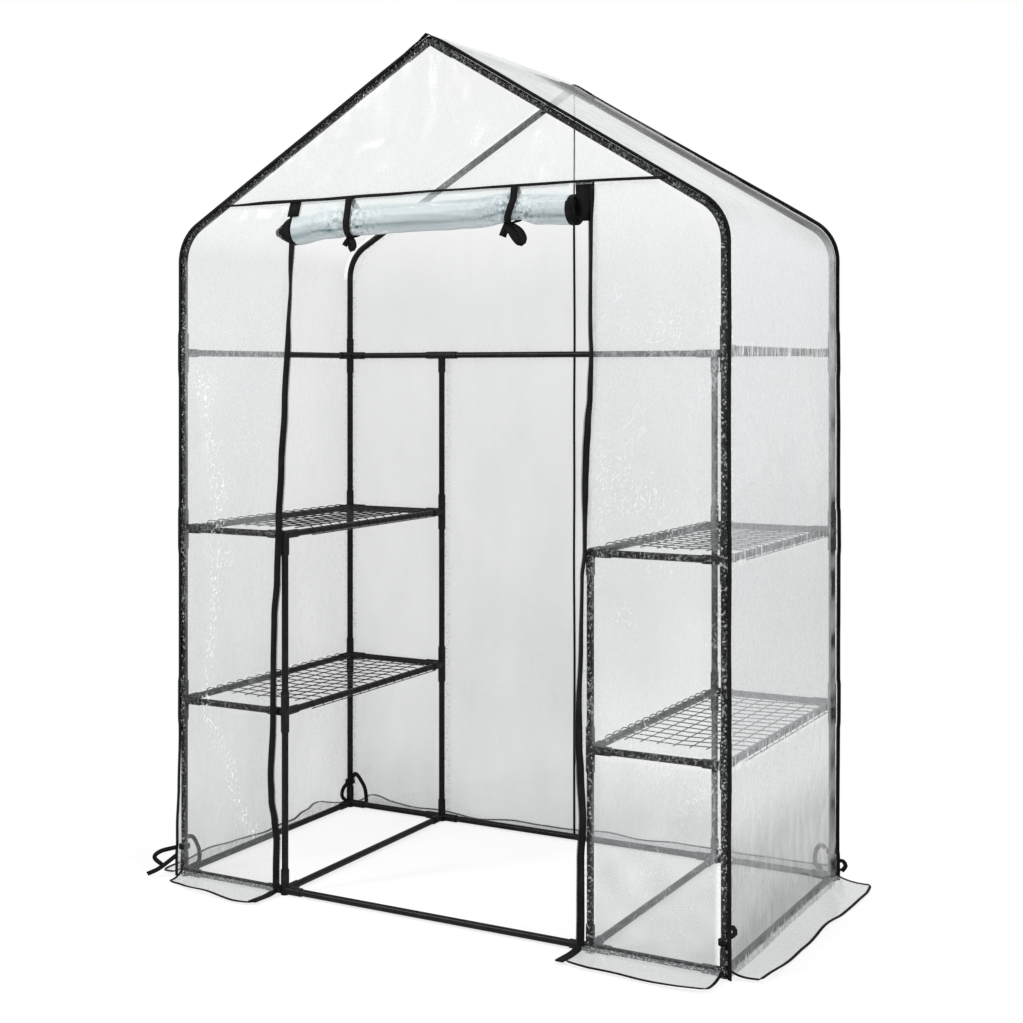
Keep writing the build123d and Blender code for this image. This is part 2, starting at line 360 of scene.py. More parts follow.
def film_material(name):
    """Clear film: milkiness and body colour painted on its points, partly painted shade and glare, and
    painted glints (white highlights in colour and opacity) along crease lines and on tubes.
    """
    material, tree, shader = material_nodes(name)
    upright = stretched(tree, (1.0, 1.0, 2.2))
    # Painted glints: white strokes in the colour and opacity, where the film would catch highlights.
    leaning = strokes(tree, lean=0.5, draw=13.0, scale=200.0, low=0.57, high=0.7)
    crossing = strokes(tree, lean=-0.35, draw=11.0, scale=245.0, low=0.59, high=0.72)
    glints = maths(tree, "MAXIMUM", leaning, crossing)
    drifts = noise_texture(tree, stretched(tree, (1.0, 1.0, 2.5), (0.5, 0.5, 0.0)), scale=9.0)
    bands = ramp(tree, drifts, 0.45, 0.62)
    gathered = maths(tree, "MAXIMUM", bands, ramp(tree, painted(tree, "glint"), 0.6, 1.0))
    glints = maths(tree, "MULTIPLY", glints, ramp(tree, gathered, 0.0, 1.0, 0.1, 1.0))
    # Crease lines painted white: partly the whitening of creased film, partly painted glints.
    crease_glint_lines = maths(tree, "MULTIPLY", streaks(tree, upright, scale=7.0, width=0.008, broken=0.5), 0.6)
    crease = maths(tree, "MULTIPLY", maths(tree, "MAXIMUM", glints, crease_glint_lines), painted(tree, "glint"))
    # Painted glints where the film lies on tubes: streaks over rails, dots over posts.
    glint_streak_field = noise_texture(tree, stretched(tree, (1.0, 1.0, 9.0)), scale=230.0, detail=1.0)
    glint_streaks = ramp(tree, glint_streak_field, 0.48, 0.7)
    rail_glints = maths(tree, "MULTIPLY", glint_streaks, painted(tree, "rail_seat"))
    glint_dots_one_way = strokes(tree, lean=0.9, draw=4.0, scale=190.0, low=0.6, high=0.69)
    glint_dots_other_way = strokes(tree, lean=-0.7, draw=4.0, scale=170.0, low=0.62, high=0.7)
    glint_dots = maths(tree, "MAXIMUM", glint_dots_one_way, glint_dots_other_way)
    post_glints = maths(tree, "MULTIPLY", glint_dots, painted(tree, "post_seat"))
    white = maths(tree, "MAXIMUM", crease, maths(tree, "MAXIMUM", rail_glints, post_glints))
    edge_on = node(tree, "ShaderNodeLayerWeight")
    edge_on.inputs["Blend"].default_value = 0.2
    sheen = ramp(tree, painted(tree, "haze_and_shade"), 0.03, 0.14, 0.0, 0.2)
    grazing = maths(tree, "MULTIPLY", edge_on.outputs["Fresnel"], sheen)
    cloud = ramp(tree, noise_texture(tree, upright, scale=4.0, detail=3.0), 0.3, 0.7, 0.86, 1.14)
    grain_field = noise_texture(tree, upright, scale=130.0, detail=3.0, roughness=0.7)
    grain = ramp(tree, grain_field, 0.3, 0.7, -1.0, 1.0)
    mottle = maths(tree, "MULTIPLY", grain, ramp(tree, painted(tree, "body"), 0.3, 0.6, 0.02, 0.5))
    patchy = maths(tree, "MULTIPLY", cloud, maths(tree, "ADD", mottle, 1.0))
    gap_field = noise_texture(tree, stretched(tree, (1.0, 1.0, 7.0)), scale=150.0, detail=1.0)
    gaps = ramp(tree, gap_field, 0.42, 0.58, 0.0, 1.7)
    wiped = maths(tree, "MINIMUM", maths(tree, "MULTIPLY", gaps, painted(tree, "rail_seat")), 0.85)
    patchy = maths(tree, "MULTIPLY", patchy, maths(tree, "SUBTRACT", 1.0, wiped))
    haze_and_shade = maths(tree, "MULTIPLY", patchy, painted(tree, "haze_and_shade"))
    alpha = maths(tree, "ADD", maths(tree, "ADD", haze_and_shade, grazing), maths(tree, "MULTIPLY", white, 0.5))
    tree.links.new(maths(tree, "MINIMUM", alpha, 0.95), shader.inputs["Alpha"])
    # Body colour painted on the points, partly painted shade and glare; the painted glints mix in white.
    body = mix_colour(tree, painted(tree, "body"), BLACK, FILM_TINT)
    tree.links.new(mix_colour(tree, white, body, GLINT_TINT), shader.inputs["Base Color"])
    gloss = ramp(tree, noise_texture(tree, upright, scale=17.0), 0.3, 0.7, 0.1, 0.24)
    tree.links.new(gloss, shader.inputs["Roughness"])
    waves = noise_texture(tree, upright, scale=23.0, detail=3.0, roughness=0.6, distortion=0.6)
    bump(tree, waves, 0.1, FILM_BUMP, shader)
    return material


def rolled_material():
    """The same film wound up: milky and bluish, coloured by angle partly as painted shade, with painted
    shadows and highlights in the crumples beside the ties.
    """
    material, tree, shader = material_nodes("rolled_film")
    wound = stretched(tree, (14.0, 1.0, 1.0))
    layers = noise_texture(tree, wound, scale=70.0, detail=3.0, roughness=0.6, distortion=0.3)
    # Painted highlights: white lines along the roll, partly whitened creases, and a white network in the
    # crumples beside the ties.
    lines = streaks(tree, stretched(tree, (9.0, 1.0, 1.0)), scale=34.0, width=0.02, broken=0.52)
    network = streaks(tree, stretched(tree, EVEN), scale=75.0, width=0.07, broken=0.4)
    crumple_glints = maths(tree, "MULTIPLY", network, painted(tree, "crumple"))
    white = maths(tree, "MAXIMUM", maths(tree, "MULTIPLY", lines, 0.5), crumple_glints)
    # Painted shadow in the crumples beside the ties.
    shadow_field = noise_texture(tree, stretched(tree, EVEN), scale=95.0, distortion=0.6)
    shadow = maths(tree, "MULTIPLY", ramp(tree, shadow_field, 0.52, 0.62), painted(tree, "crumple"))
    tone_and_shade = maths(tree, "ADD", painted(tree, "tone_and_shade"), ramp(tree, layers, 0.3, 0.7, -0.07, 0.07))
    tone_and_shade = maths(tree, "SUBTRACT", tone_and_shade, maths(tree, "MULTIPLY", shadow, 0.5))
    tone_and_shade = maths(tree, "ADD", tone_and_shade, maths(tree, "MULTIPLY", white, 0.5))
    tree.links.new(mix_colour(tree, tone_and_shade, ROLL_DEEP, ROLL_PALE), shader.inputs["Base Color"])
    cover = maths(tree, "ADD", painted(tree, "cover"), maths(tree, "MULTIPLY", white, 0.3))
    tree.links.new(cover, shader.inputs["Alpha"])
    tree.links.new(ramp(tree, layers, 0.3, 0.7, 0.3, 0.5), shader.inputs["Roughness"])
    shader.inputs["Specular IOR Level"].default_value = 0.25
    bump(tree, maths(tree, "ADD", layers, white), 0.25, ROLL_BUMP, shader)
    return material


def black_material(name, shades, patch_scale, grain_scale, gloss, depth):
    """A black finish with paler rubbed patches and a fine grain."""
    material, tree, shader = material_nodes(name)
    place = stretched(tree, EVEN)
    rubbed = ramp(tree, noise_texture(tree, place, patch_scale, detail=4.0), 0.5, 0.74)
    dark, pale = shades
    tree.links.new(mix_colour(tree, rubbed, (dark,) * 3, (pale,) * 3), shader.inputs["Base Color"])
    grain = noise_texture(tree, place, grain_scale, detail=1.0)
    tree.links.new(ramp(tree, grain, 0.3, 0.7, *gloss), shader.inputs["Roughness"])
    shader.inputs["Specular IOR Level"].default_value = 0.13
    bump(tree, grain, 0.15, depth, shader)
    return material


def tape_material():
    """Black woven tape."""
    material, tree, shader = material_nodes("black_woven_tape")
    place = stretched(tree, EVEN)
    weave = node(tree, "ShaderNodeTexWave", wave_type="BANDS", bands_direction="DIAGONAL")
    weave.inputs["Scale"].default_value = WEAVE_SCALE
    weave.inputs["Distortion"].default_value = WEAVE_WARP
    tree.links.new(place, weave.inputs["Vector"])
    dusty = ramp(tree, noise_texture(tree, place, scale=24.0, detail=4.0), 0.45, 0.75)
    tree.links.new(mix_colour(tree, dusty, TAPE_DARK, TAPE_DUSTY), shader.inputs["Base Color"])
    tree.links.new(ramp(tree, weave.outputs["Fac"], 0.0, 1.0, 0.6, 0.85), shader.inputs["Roughness"])
    shader.inputs["Specular IOR Level"].default_value = 0.1
    bump(tree, weave.outputs["Fac"], 0.3, WEAVE_BUMP, shader)
    return material


FILM = film_material("clear_film")
ROLL_FILM = rolled_material()
TUBE = black_material(
    "black_powder_coat", shades=(0.0035, 0.011), patch_scale=38.0, grain_scale=900.0, gloss=(0.25, 0.4),
    depth=0.0004,
)
CONNECTOR = black_material(
    "moulded_black_plastic", shades=(0.005, 0.013), patch_scale=60.0, grain_scale=1400.0, gloss=(0.4, 0.55),
    depth=0.0003,
)
WIRE = black_material(
    "dipped_black_wire", shades=(0.004, 0.012), patch_scale=120.0, grain_scale=500.0, gloss=(0.25, 0.4),
    depth=0.0004,
)
TAPE = tape_material()

CAD_FINISH = {"black_tube": TUBE, "connector_plastic": CONNECTOR}
SMOOTH_ANGLE = math.radians(35)
WELD_REACH = 0.00001


def dress_cad_nodes():
    """Gives the tubes and connectors their finish, with round sides shaded smooth and edges kept sharp."""
    slots = {part["node"]: part["material_slot"] for part in frame["record"]["subparts"]}
    for name, piece in frame["nodes"].items():
        finish = CAD_FINISH.get(slots[name])
        if finish is None:
            continue
        piece.data.materials.clear()
        piece.data.materials.append(finish)
        piece.data.polygons.foreach_set("use_smooth", [True] * len(piece.data.polygons))
        piece.modifiers.new("weld", "WELD").merge_threshold = WELD_REACH
        piece.modifiers.new("edges", "EDGE_SPLIT").split_angle = SMOOTH_ANGLE


dress_cad_nodes()

# Film
FILM_STEP = 0.009
BROAD_SIZE = 0.45
BROAD_DRAW = 2
BROAD_LIFT = 0.6
BROAD_DEPTH = 0.005
FOLD_SIZE = 0.12
FOLD_DRAW = 3
FOLD_LIFT = 0.5
FOLD_DEPTH = 0.0025
SEAM_FOLD_SHARE = 0.4
CRUMPLE_SIZE = 0.055
CRUMPLE_DRAW = 1.8
CRUMPLE_WARP = 0.6
CRUMPLE_POWER = 4
CRUMPLE_DEPTH = 0.0018
GATHER_REACH = 0.07
GATHER_SIZE = 0.035
GATHER_LIFT = 0.5
GATHER_DEPTH = 0.0022
WARP_SEED, FOLD_SEED, CRUMPLE_SEED, GATHER_SEED = 3, 7, 11, 19
SEWN_REACH = 0.03
SEAT_REACH = 0.011
SEAT_FADE = 0.004
RAIL_HEIGHTS = (BASE, LOWER, UPPER, MID)
DULL_BODY = 0.3
# Film milkiness and body colour by height: the walls, back and front panels are darker towards the ground as
# painted shade, and the left wall and back darker overall, on top of the film's own milkiness.
LEFT_WALL_HAZE_AND_SHADE = ((0.0, 0.44), (0.3, 0.4), (0.9, 0.34), (1.5, 0.28))
RIGHT_WALL_HAZE_AND_SHADE = ((0.0, 0.55), (0.2, 0.5), (0.35, 0.35), (0.9, 0.31), (1.2, 0.36), (1.35, 0.42), (1.5, 0.42))
# The right wall's body is paler high up as painted glare and darker towards the ground as painted shade.
RIGHT_WALL_BODY_AND_SHADE = ((0.0, 0.12), (0.2, 0.18), (0.35, 0.39), (0.9, 0.47), (1.2, 0.5), (1.5, 0.53))
BACK_POST_CLEAR_SHARES = ((0.9, 0.0), (1.0, 0.6), (1.2, 0.6), (1.3, 0.0))
BACK_POST_REACH = 0.03
LEFT_ROOF_HAZE = 0.12
# The right roof is milkier near the ridge as painted glare, a painted reflection on the film;
# ROOF_FRONT_SHARE sets how much of it shows at the front.
RIGHT_ROOF_HAZE_AND_GLARE = ((0.0, 0.7), (0.12, 0.75), (0.35, 0.58), (0.7, 0.42))
RIGHT_ROOF_BODY_AND_GLARE = ((0.0, 0.42), (0.12, 0.41), (0.35, 0.37), (0.7, 0.44))
ROOF_FRONT_DULL_SHARE = 0.3
ROOF_CLEAR_HAZE = 0.13
ROOF_CLEAR_BODY = 0.07
ROOF_CLEAR_SHARES = ((0.4, 0.0), (0.75, 1.0))
ROOF_FRONT_SHARE = 0.75
# The back: darker towards the ground as painted shade.
BACK_HAZE_AND_SHADE = ((0.0, 0.5), (0.25, 0.43), (0.9, 0.36), (1.4, 0.33), (1.75, 0.12))
BACK_BODY = ((0.0, DULL_BODY), (2.0, DULL_BODY))
GABLE_BODY = ((1.6, 0.58), (2.0, 0.58))
GABLE_HAZE = ((1.6, 0.3), (1.75, 0.14), (2.0, 0.1))
# The front panels: darker towards the ground as painted shade.
FRONT_LEFT_HAZE_AND_SHADE = ((0.0, 0.22), (0.3, 0.13), (0.5, 0.1), (0.8, 0.2), (1.0, 0.2), (1.2, 0.38), (1.35, 0.34),
                   (1.6, 0.16))
FRONT_LEFT_BODY_AND_SHADE = ((0.0, 0.3), (0.5, 0.45), (0.9, 0.55), (1.6, 0.6))
FRONT_RIGHT_HAZE_AND_SHADE = ((0.0, 0.45), (0.3, 0.42), (0.45, 0.25), (0.6, 0.1), (0.75, 0.08), (0.9, 0.2), (1.0, 0.3),
                    (1.1, 0.24), (1.22, 0.33), (1.35, 0.33), (1.5, 0.25))
FRONT_RIGHT_BODY_AND_SHADE = ((0.0, 0.26), (0.3, 0.34), (0.45, 0.45), (0.6, 0.5), (0.9, 0.55), (1.2, 0.59), (1.5, 0.6))
FLAP_HAZE = 0.24
# Shares of the painted glints where the film lies on tubes (streaks over rails, dots over posts), and how
# much clearer it is where pressed on them.
RAIL_GLINT_SHARE = 0.5
FAR_SEAT_SHARE = 0.4
PRESSED_SHARE = 0.92
GLINT_DOT_SHARE = 0.75
WALL_HATCH_SHARE = 0.06
RAIL_HATCH_SHARE = 0.5
RAIL_HATCH_REACH = 0.013
DRAWN_TIGHT = ((-0.07, 0.0), (-0.05, 1.0))
RAFTER_GLINT_DOT_SHARE = 0.5
CONNECTOR_HUG_SHARE = 0.6
PATCH_SIZE = 0.06
PATCH_TOP = 1.25
PATCH_TOP_SHARE = 0.35
PATCH_LEVEL = 0.55
PATCH_SWING = 1.3
HAZE_SWING = 0.3
BACK_RIGHT_CLEAR_SHARES = ((0.0, 0.5), (0.3, 0.5), (0.5, 0.2), (0.7, 0.0))
BACK_RIGHT_STEP = ((0.0, 0.0), (0.1, 1.0))


def crumple(u, v, edge, seed):
    """How far creased film stands off its seat: u across, v up, edge the way to the nearest seam."""
    broad = wobble(u / BROAD_SIZE, v / BROAD_SIZE / BROAD_DRAW, seed)
    fold = wobble(u / FOLD_SIZE, v / FOLD_SIZE / FOLD_DRAW, seed + FOLD_SEED)
    warp = CRUMPLE_WARP * wobble(u / FOLD_SIZE, v / FOLD_SIZE, seed + WARP_SEED)
    across, up = u / CRUMPLE_SIZE + warp, v / CRUMPLE_SIZE / CRUMPLE_DRAW + warp
    ridge = 1 - abs(wobble(across, up, seed + CRUMPLE_SEED))
    gather = wobble(u / GATHER_SIZE, v / GATHER_SIZE, seed + GATHER_SEED)
    near = math.exp(-edge / GATHER_REACH)
    inside = 1 - near
    sewn = min(edge / SEWN_REACH, 1.0) ** 2
    broad_stand = BROAD_DEPTH * (BROAD_LIFT + broad) * inside
    stand = broad_stand + FOLD_DEPTH * (FOLD_LIFT + fold) * (SEAM_FOLD_SHARE + inside)
    stand += CRUMPLE_DEPTH * ridge**CRUMPLE_POWER + GATHER_DEPTH * (GATHER_LIFT + gather) * near
    return max(stand * sewn, 0.0)


def seat(*ways, reach=SEAT_REACH):
    """How closely film lies on a tube, from the way to each tube: 1 on it, 0 clear of it."""
    nearest = min(abs(way) for way in ways)
    return max(0.0, min(1.0, (reach + SEAT_FADE - nearest) / SEAT_FADE))


# Painted glints on the main sheet, more on the left.
LEFT_SHEET_GLINT = 0.2
RIGHT_SHEET_GLINT = 0.06
# The film's painted layers: the first two carry painted shade and glare as well as the film's own milkiness
# and colour; the last three place painted glints.
FILM_LAYERS = ("haze_and_shade", "body", "glint", "rail_seat", "post_seat")


def paint_points(piece, layers, paint):
    """Stores the painted values of each point under the layers' names."""
    for place, layer in enumerate(layers):
        values = piece.data.attributes.new(layer, "FLOAT", "POINT")
        values.data.foreach_set("value", [point[place] for row in paint for point in row])


def film_piece(name, rows, paint, nodes):
    """A film sheet from rows of points, painted with the film's layers at each point."""
    built = Builder()
    built.grid(rows)
    sheet = built.piece(name, FILM, "clear_film")
    paint_points(sheet, FILM_LAYERS, paint)
    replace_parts(sheet, *nodes)


# Where the seams stray outward from the frame, and where they are drawn in on its tubes
LEFT_FOOT_STRAY = ((0.0, 0.009), (0.12, 0.009), (0.22, 0.004), (0.35, 0.0))
BACK_RIGHT_STRAY = ((0.1, 0.0), (0.5, 0.002), (1.1, 0.002), (1.4, 0.0))
STRAY_REACH = 0.05
HUG_DEPTH = 0.0027
HUG_REACH = 0.03
CONNECTOR_REACH = 0.036
CONNECTOR_FADE = 0.02
APEX_REACH = 0.015


def hug(z):
    """How far a seam is drawn in on its tube, from a height: less on the connectors."""
    away = min(min(abs(z - height) for height in RAIL_HEIGHTS) - CONNECTOR_REACH, FILM_TOP - APEX_REACH - z)
    return HUG_DEPTH * max(CONNECTOR_HUG_SHARE, min(away / CONNECTOR_FADE, 1.0))


def seam_pull(way):
    """How much of the seam's draw is left, that far from it."""
    return math.exp(-max(way, 0.0) / HUG_REACH)


def front_stray(x, z):
    return between(LEFT_FOOT_STRAY, z) if x < 0 and z < WALL_TOP else 0.0


def back_stray(x, z):
    return between(BACK_RIGHT_STRAY, z) if x > 0 and z < WALL_TOP else 0.0


def sheet_tone(x, z, y):
    """Milkiness and body colour of the main sheet at a place, with the walls' painted shade and the right
    roof's painted glare.
    """
    if x < 0:
        return between(((WALL_TOP, between(LEFT_WALL_HAZE_AND_SHADE, z)), (SLOPE_LOW, LEFT_ROOF_HAZE)), z), DULL_BODY
    down = (FILM_TOP - max(z, SLOPE_LOW)) / math.sin(PITCH)
    deep = (y - FILM_FRONT) / (FILM_BACK - FILM_FRONT)
    shown = ROOF_FRONT_SHARE + (1 - ROOF_FRONT_SHARE) * deep
    eave_haze, eave_body = RIGHT_ROOF_HAZE_AND_GLARE[-1][1], RIGHT_ROOF_BODY_AND_GLARE[-1][1]
    roof_haze = eave_haze + (between(RIGHT_ROOF_HAZE_AND_GLARE, down) - eave_haze) * shown
    roof_body = eave_body + (between(RIGHT_ROOF_BODY_AND_GLARE, down) - eave_body) * shown
    roof_body *= 1 - ROOF_FRONT_DULL_SHARE * (1 - deep)
    cleared = between(ROOF_CLEAR_SHARES, deep)
    roof_haze += (ROOF_CLEAR_HAZE - roof_haze) * cleared
    roof_body += (ROOF_CLEAR_BODY - roof_body) * cleared
    clear = between(BACK_POST_CLEAR_SHARES, z) * math.exp(-abs(BACK - y) / BACK_POST_REACH)
    wall_haze = between(RIGHT_WALL_HAZE_AND_SHADE, z) * (1 - clear)
    haze_and_shade = between(((WALL_TOP, wall_haze), (SLOPE_LOW, roof_haze)), z)
    return haze_and_shade, between(((WALL_TOP, between(RIGHT_WALL_BODY_AND_SHADE, z)), (SLOPE_LOW, roof_body)), z)


def pressed_patch(z):
    """How far the right wall's film is drawn tight by the back post, in patches up its height."""
    fading = between(((PATCH_TOP, 1.0), (WALL_TOP, PATCH_TOP_SHARE)), z)
    return fading * max(0.0, min(1.0, PATCH_LEVEL + PATCH_SWING * wobble(z / PATCH_SIZE, 3.5, 0.0)))


def main_sheet():
    """One sheet from the left foot over the roof to the right foot."""
    rows, paint = [], []
    depths = steps(FILM_FRONT, FILM_BACK, FILM_STEP)
    for along in steps(0.0, 2 * HALF_LENGTH, FILM_STEP):
        x, z, out_x, out_z = whole_outline(along)
        seat_share = FAR_SEAT_SHARE if x < 0 else 1.0
        glint = LEFT_SHEET_GLINT if x < 0 else RIGHT_SHEET_GLINT
        row, colours = [], []
        for y in depths:
            from_front, from_back = y - FILM_FRONT, FILM_BACK - y
            stand = crumple(y, along, min(from_front, from_back), seed=1.3)
            stand += front_stray(x, z) * math.exp(-from_front / STRAY_REACH)
            stand += back_stray(x, z) * math.exp(-from_back / STRAY_REACH)
            stand -= hug(z) * (seam_pull(from_front) + seam_pull(from_back))
            draw = hug(z) * (seam_pull(from_front) - seam_pull(from_back))
            row.append((x + out_x * stand, y + draw, z + out_z * stand))
            # Where the film lies on rails and posts: painted glints go there, and the film is clearer where
            # pressed on them.
            on_rail = seat(x)
            if z < WALL_TOP:
                rail_ways = [z - height for height in RAIL_HEIGHTS]
                on_rail = max(WALL_HATCH_SHARE, RAIL_HATCH_SHARE * seat(*rail_ways, reach=RAIL_HATCH_REACH))
            on_post = seat(y - FRONT, y - BACK)
            haze_and_shade, body = sheet_tone(x, z, y)
            if z > WALL_TOP:
                haze_and_shade *= 1 - PRESSED_SHARE * max(on_post, seat(x))
            elif x > 0:
                haze_and_shade *= 1 - PRESSED_SHARE * between(DRAWN_TIGHT, y - BACK) * pressed_patch(z)
            colours.append((haze_and_shade, body, glint, on_rail * seat_share, on_post * seat_share * GLINT_DOT_SHARE))
        rows.append(row)
        paint.append(colours)
    film_piece(
        "cover_roof_and_sides", rows, paint,
        ["cover_left_wall", "cover_left_roof", "cover_right_wall", "cover_right_roof"],
    )


def upright_panel(name, node_name, z_low, z_high, edges, y, outward, tones, glint, seats, seed):
    """A panel of film in an upright plane, between two edges given for each height."""
    left_edge, right_edge = edges
    haze_and_shade, body, pressed_share = tones
    heights = steps(z_low, z_high, FILM_STEP)
    widest = max(right_edge(z) - left_edge(z) for z in heights)
    columns = max(int(widest / FILM_STEP), 2)
    rows, paint = [], []
    for z in heights:
        x_left, x_right = left_edge(z), right_edge(z)
        row, colours = [], []
        for c in range(columns + 1):
            x = x_left + (x_right - x_left) * c / columns
            edge = min(x - x_left, x_right - x, z_high - z)
            draw = hug(z) * seam_pull(half_width(z) - abs(x))
            row.append((x, y + outward * (crumple(x, z, edge, seed) - draw), z))
            on_rail, on_post = seats(x, z)
            clear = 1 - pressed_share * max(on_rail, on_post)
            # Painted glints where the panel lies on rails and posts.
            glint_dot_share = GLINT_DOT_SHARE * (RAFTER_GLINT_DOT_SHARE if z > WALL_TOP else 1.0)
            white_shares = (0.0, max(on_rail * RAIL_GLINT_SHARE, on_post) * glint_dot_share)
            colours.append((haze_and_shade(x, z) * clear, between(body, z), glint(x, z), *white_shares))
        rows.append(row)
        paint.append(colours)
    film_piece(name, rows, paint, [node_name])


def outline_seat(x, z):
    """The way from a place on the front or back to the middle of the outline's tube."""
    inset = FILM_SIDE - RIGHT
    if z < WALL_TOP:
        return half_width(z) - abs(x) - inset
    return (half_width(z) - abs(x)) * math.sin(PITCH) - inset


def back_seats(x, z):
    rails = (BASE, MID) if abs(x) < INNER else RAIL_HEIGHTS
    on_post = seat(outline_seat(x, z), abs(x) - INNER) if z < MID else seat(outline_seat(x, z))
    return seat(*(z - height for height in rails)), on_post


def front_seats(x, z):
    on_post = seat(outline_seat(x, z), abs(x) - INNER) if z < UPPER else seat(outline_seat(x, z))
    return seat(*(z - height for height in (BASE, LOWER, UPPER))), on_post


def gable_seats(x, z):
    return 0.0, seat(outline_seat(x, z))


# The zips hang free and drift from their posts
LEFT_ZIP_DRIFT = (
    (0.0, -0.0167), (0.06, -0.0167), (0.13, -0.015), (0.175, -0.021), (0.22, -0.0296), (0.28, -0.032),
    (0.42, -0.0252), (0.54, -0.0235), (0.66, -0.021), (0.75, -0.013), (0.89, -0.008), (1.02, 0.0),
    (1.16, 0.0096), (1.34, 0.0195), (1.45, 0.026), (1.64, 0.034),
)
RIGHT_ZIP_DRIFT = (
    (0.0, -0.0166), (0.09, -0.0154), (0.2, -0.0148), (0.28, -0.01), (0.39, -0.016), (0.44, -0.0197),
    (0.52, -0.0203), (0.66, -0.0154), (0.8, -0.013), (0.86, -0.0063), (1.0, -0.0051), (1.06, -0.0033),
    (1.13, 0.0003), (1.19, 0.0057), (1.28, 0.0087), (1.34, 0.0069), (1.5, 0.008), (1.64, 0.008),
)
APEX_GAP = 0.002
# How strongly the painted glints show on each panel.
BACK_GLINT = ((0.0, 0.03), (1.6, 0.03))
LEFT_GLINT = ((0.0, 0.35), (0.8, 0.3), (1.6, 0.2))
LEFT_GLINT_PATH = ((-0.65, 1.24), (-0.613, 1.05), (-0.585, 0.88), (-0.63, 0.41), (-0.549, 0.285),
                   (-0.536, 0.205), (-0.491, 0.146))
LEFT_GLINT_REACH = 0.036
LEFT_CREASE_GLINT_SHARE = 0.7
RIGHT_GLINT = ((0.0, 0.3), (0.5, 0.5), (0.8, 0.6), (1.2, 0.5), (1.6, 0.2))
GABLE_GLINT = 0.4


def by_height(table):
    return lambda x, z: between(table, z)


def front_right_haze(x, z):
    """The right front panel's milkiness with its painted shade, in patches."""
    return between(FRONT_RIGHT_HAZE_AND_SHADE, z) * (1 + HAZE_SWING * wobble(x / PATCH_SIZE, z / PATCH_SIZE, 3.0))


def back_haze(x, z):
    """The back's milkiness with its painted shade, less behind the right shelves near the ground."""
    return between(BACK_HAZE_AND_SHADE, z) * (1 - between(BACK_RIGHT_CLEAR_SHARES, z) * between(BACK_RIGHT_STEP, x))


def left_glint(x, z):
    """Painted glints gathered along one long crease of the left front panel."""
    place = Vector((x, z))
    nearest = 1.0
    for start, end in zip(LEFT_GLINT_PATH, LEFT_GLINT_PATH[1:]):
        start, end = Vector(start), Vector(end)
        share = max(0.0, min(1.0, (place - start).dot(end - start) / (end - start).length_squared))
        nearest = min(nearest, (place - start - (end - start) * share).length)
    return between(LEFT_GLINT, z) + LEFT_CREASE_GLINT_SHARE * math.exp(-((nearest / LEFT_GLINT_REACH) ** 2))


def left_zip(z):
    return -INNER + between(LEFT_ZIP_DRIFT, z)


def right_zip(z):
    return INNER + between(RIGHT_ZIP_DRIFT, z)


def right_outline(z):
    return half_width(z) - hug(z)


def left_outline(z):
    return -right_outline(z)


def front_left_outline(z):
    return left_outline(z) - front_stray(-1, z)


def back_right_outline(z):
    return right_outline(z) + back_stray(1, z)


TOP = FILM_TOP - APEX_GAP
main_sheet()
upright_panel(
    "cover_back_film", "cover_back_panel", 0.0, TOP, (left_outline, back_right_outline), FILM_BACK, 1,
    (back_haze, BACK_BODY, 0.0), by_height(BACK_GLINT), back_seats, seed=5.1,
)
upright_panel(
    "cover_gable_film", "cover_front_gable", HEADER, TOP, (left_outline, right_outline), FILM_FRONT, -1,
    (by_height(GABLE_HAZE), GABLE_BODY, PRESSED_SHARE), lambda x, z: GABLE_GLINT, gable_seats,
    seed=9.4,
)
upright_panel(
    "cover_front_left_film", "cover_front_left_panel", 0.0, HEADER, (front_left_outline, left_zip),
    FILM_FRONT, -1, (by_height(FRONT_LEFT_HAZE_AND_SHADE), FRONT_LEFT_BODY_AND_SHADE, PRESSED_SHARE), left_glint, front_seats,
    seed=13.7,
)
upright_panel(
    "cover_front_right_film", "cover_front_right_panel", 0.0, HEADER, (right_zip, right_outline),
    FILM_FRONT, -1, (front_right_haze, FRONT_RIGHT_BODY_AND_SHADE, PRESSED_SHARE), by_height(RIGHT_GLINT), front_seats,
    seed=17.2,
)

# Ground flaps and their bound edges
FLAP_STEP = 0.01
FLAP_CLEAR = 0.012
FLAP_RIPPLE = 0.009
FLAP_WAVE_SIZE = 0.13
FLAP_FLOOR = 0.002
FLAP_FOOT = 0.014
FLAP_ROUND = 0.06
FLAP_ROUND_SHARE = 0.15
FLAP_WAVE_SHARE = 0.05
FLAP_LEVEL = 0.5
# The flaps carry painted glints too.
FLAP_GLINT = 0.8
FLAP_PAINT = (FLAP_HAZE, DULL_BODY, FLAP_GLINT, 0.0, 0.0)
EDGE_TAPE_WIDTH = 0.0062
EDGE_TAPE_THICKNESS = 0.002
RIGHT_FLAP_SHARES = ((0.0, 0.7), (0.5, 0.8), (1.0, 0.9))
LEFT_FLAP_SHARES = ((0.0, 0.6), (0.17, 0.55), (0.39, 0.58), (0.55, 0.26), (0.71, 0.39), (0.83, 0.56),
                    (1.0, 0.98))
BACK_FLAP_SHARES = ((0.0, 0.98), (0.07, 0.56), (0.28, 0.4), (0.5, 0.7), (1.0, 0.7))
FRONT_LEFT_FLAP_SHARES = ((0.0, 0.5), (0.4, 0.72), (1.0, 0.95))
FRONT_RIGHT_FLAP_SHARES = ((0.0, 0.85), (1.0, 0.95))
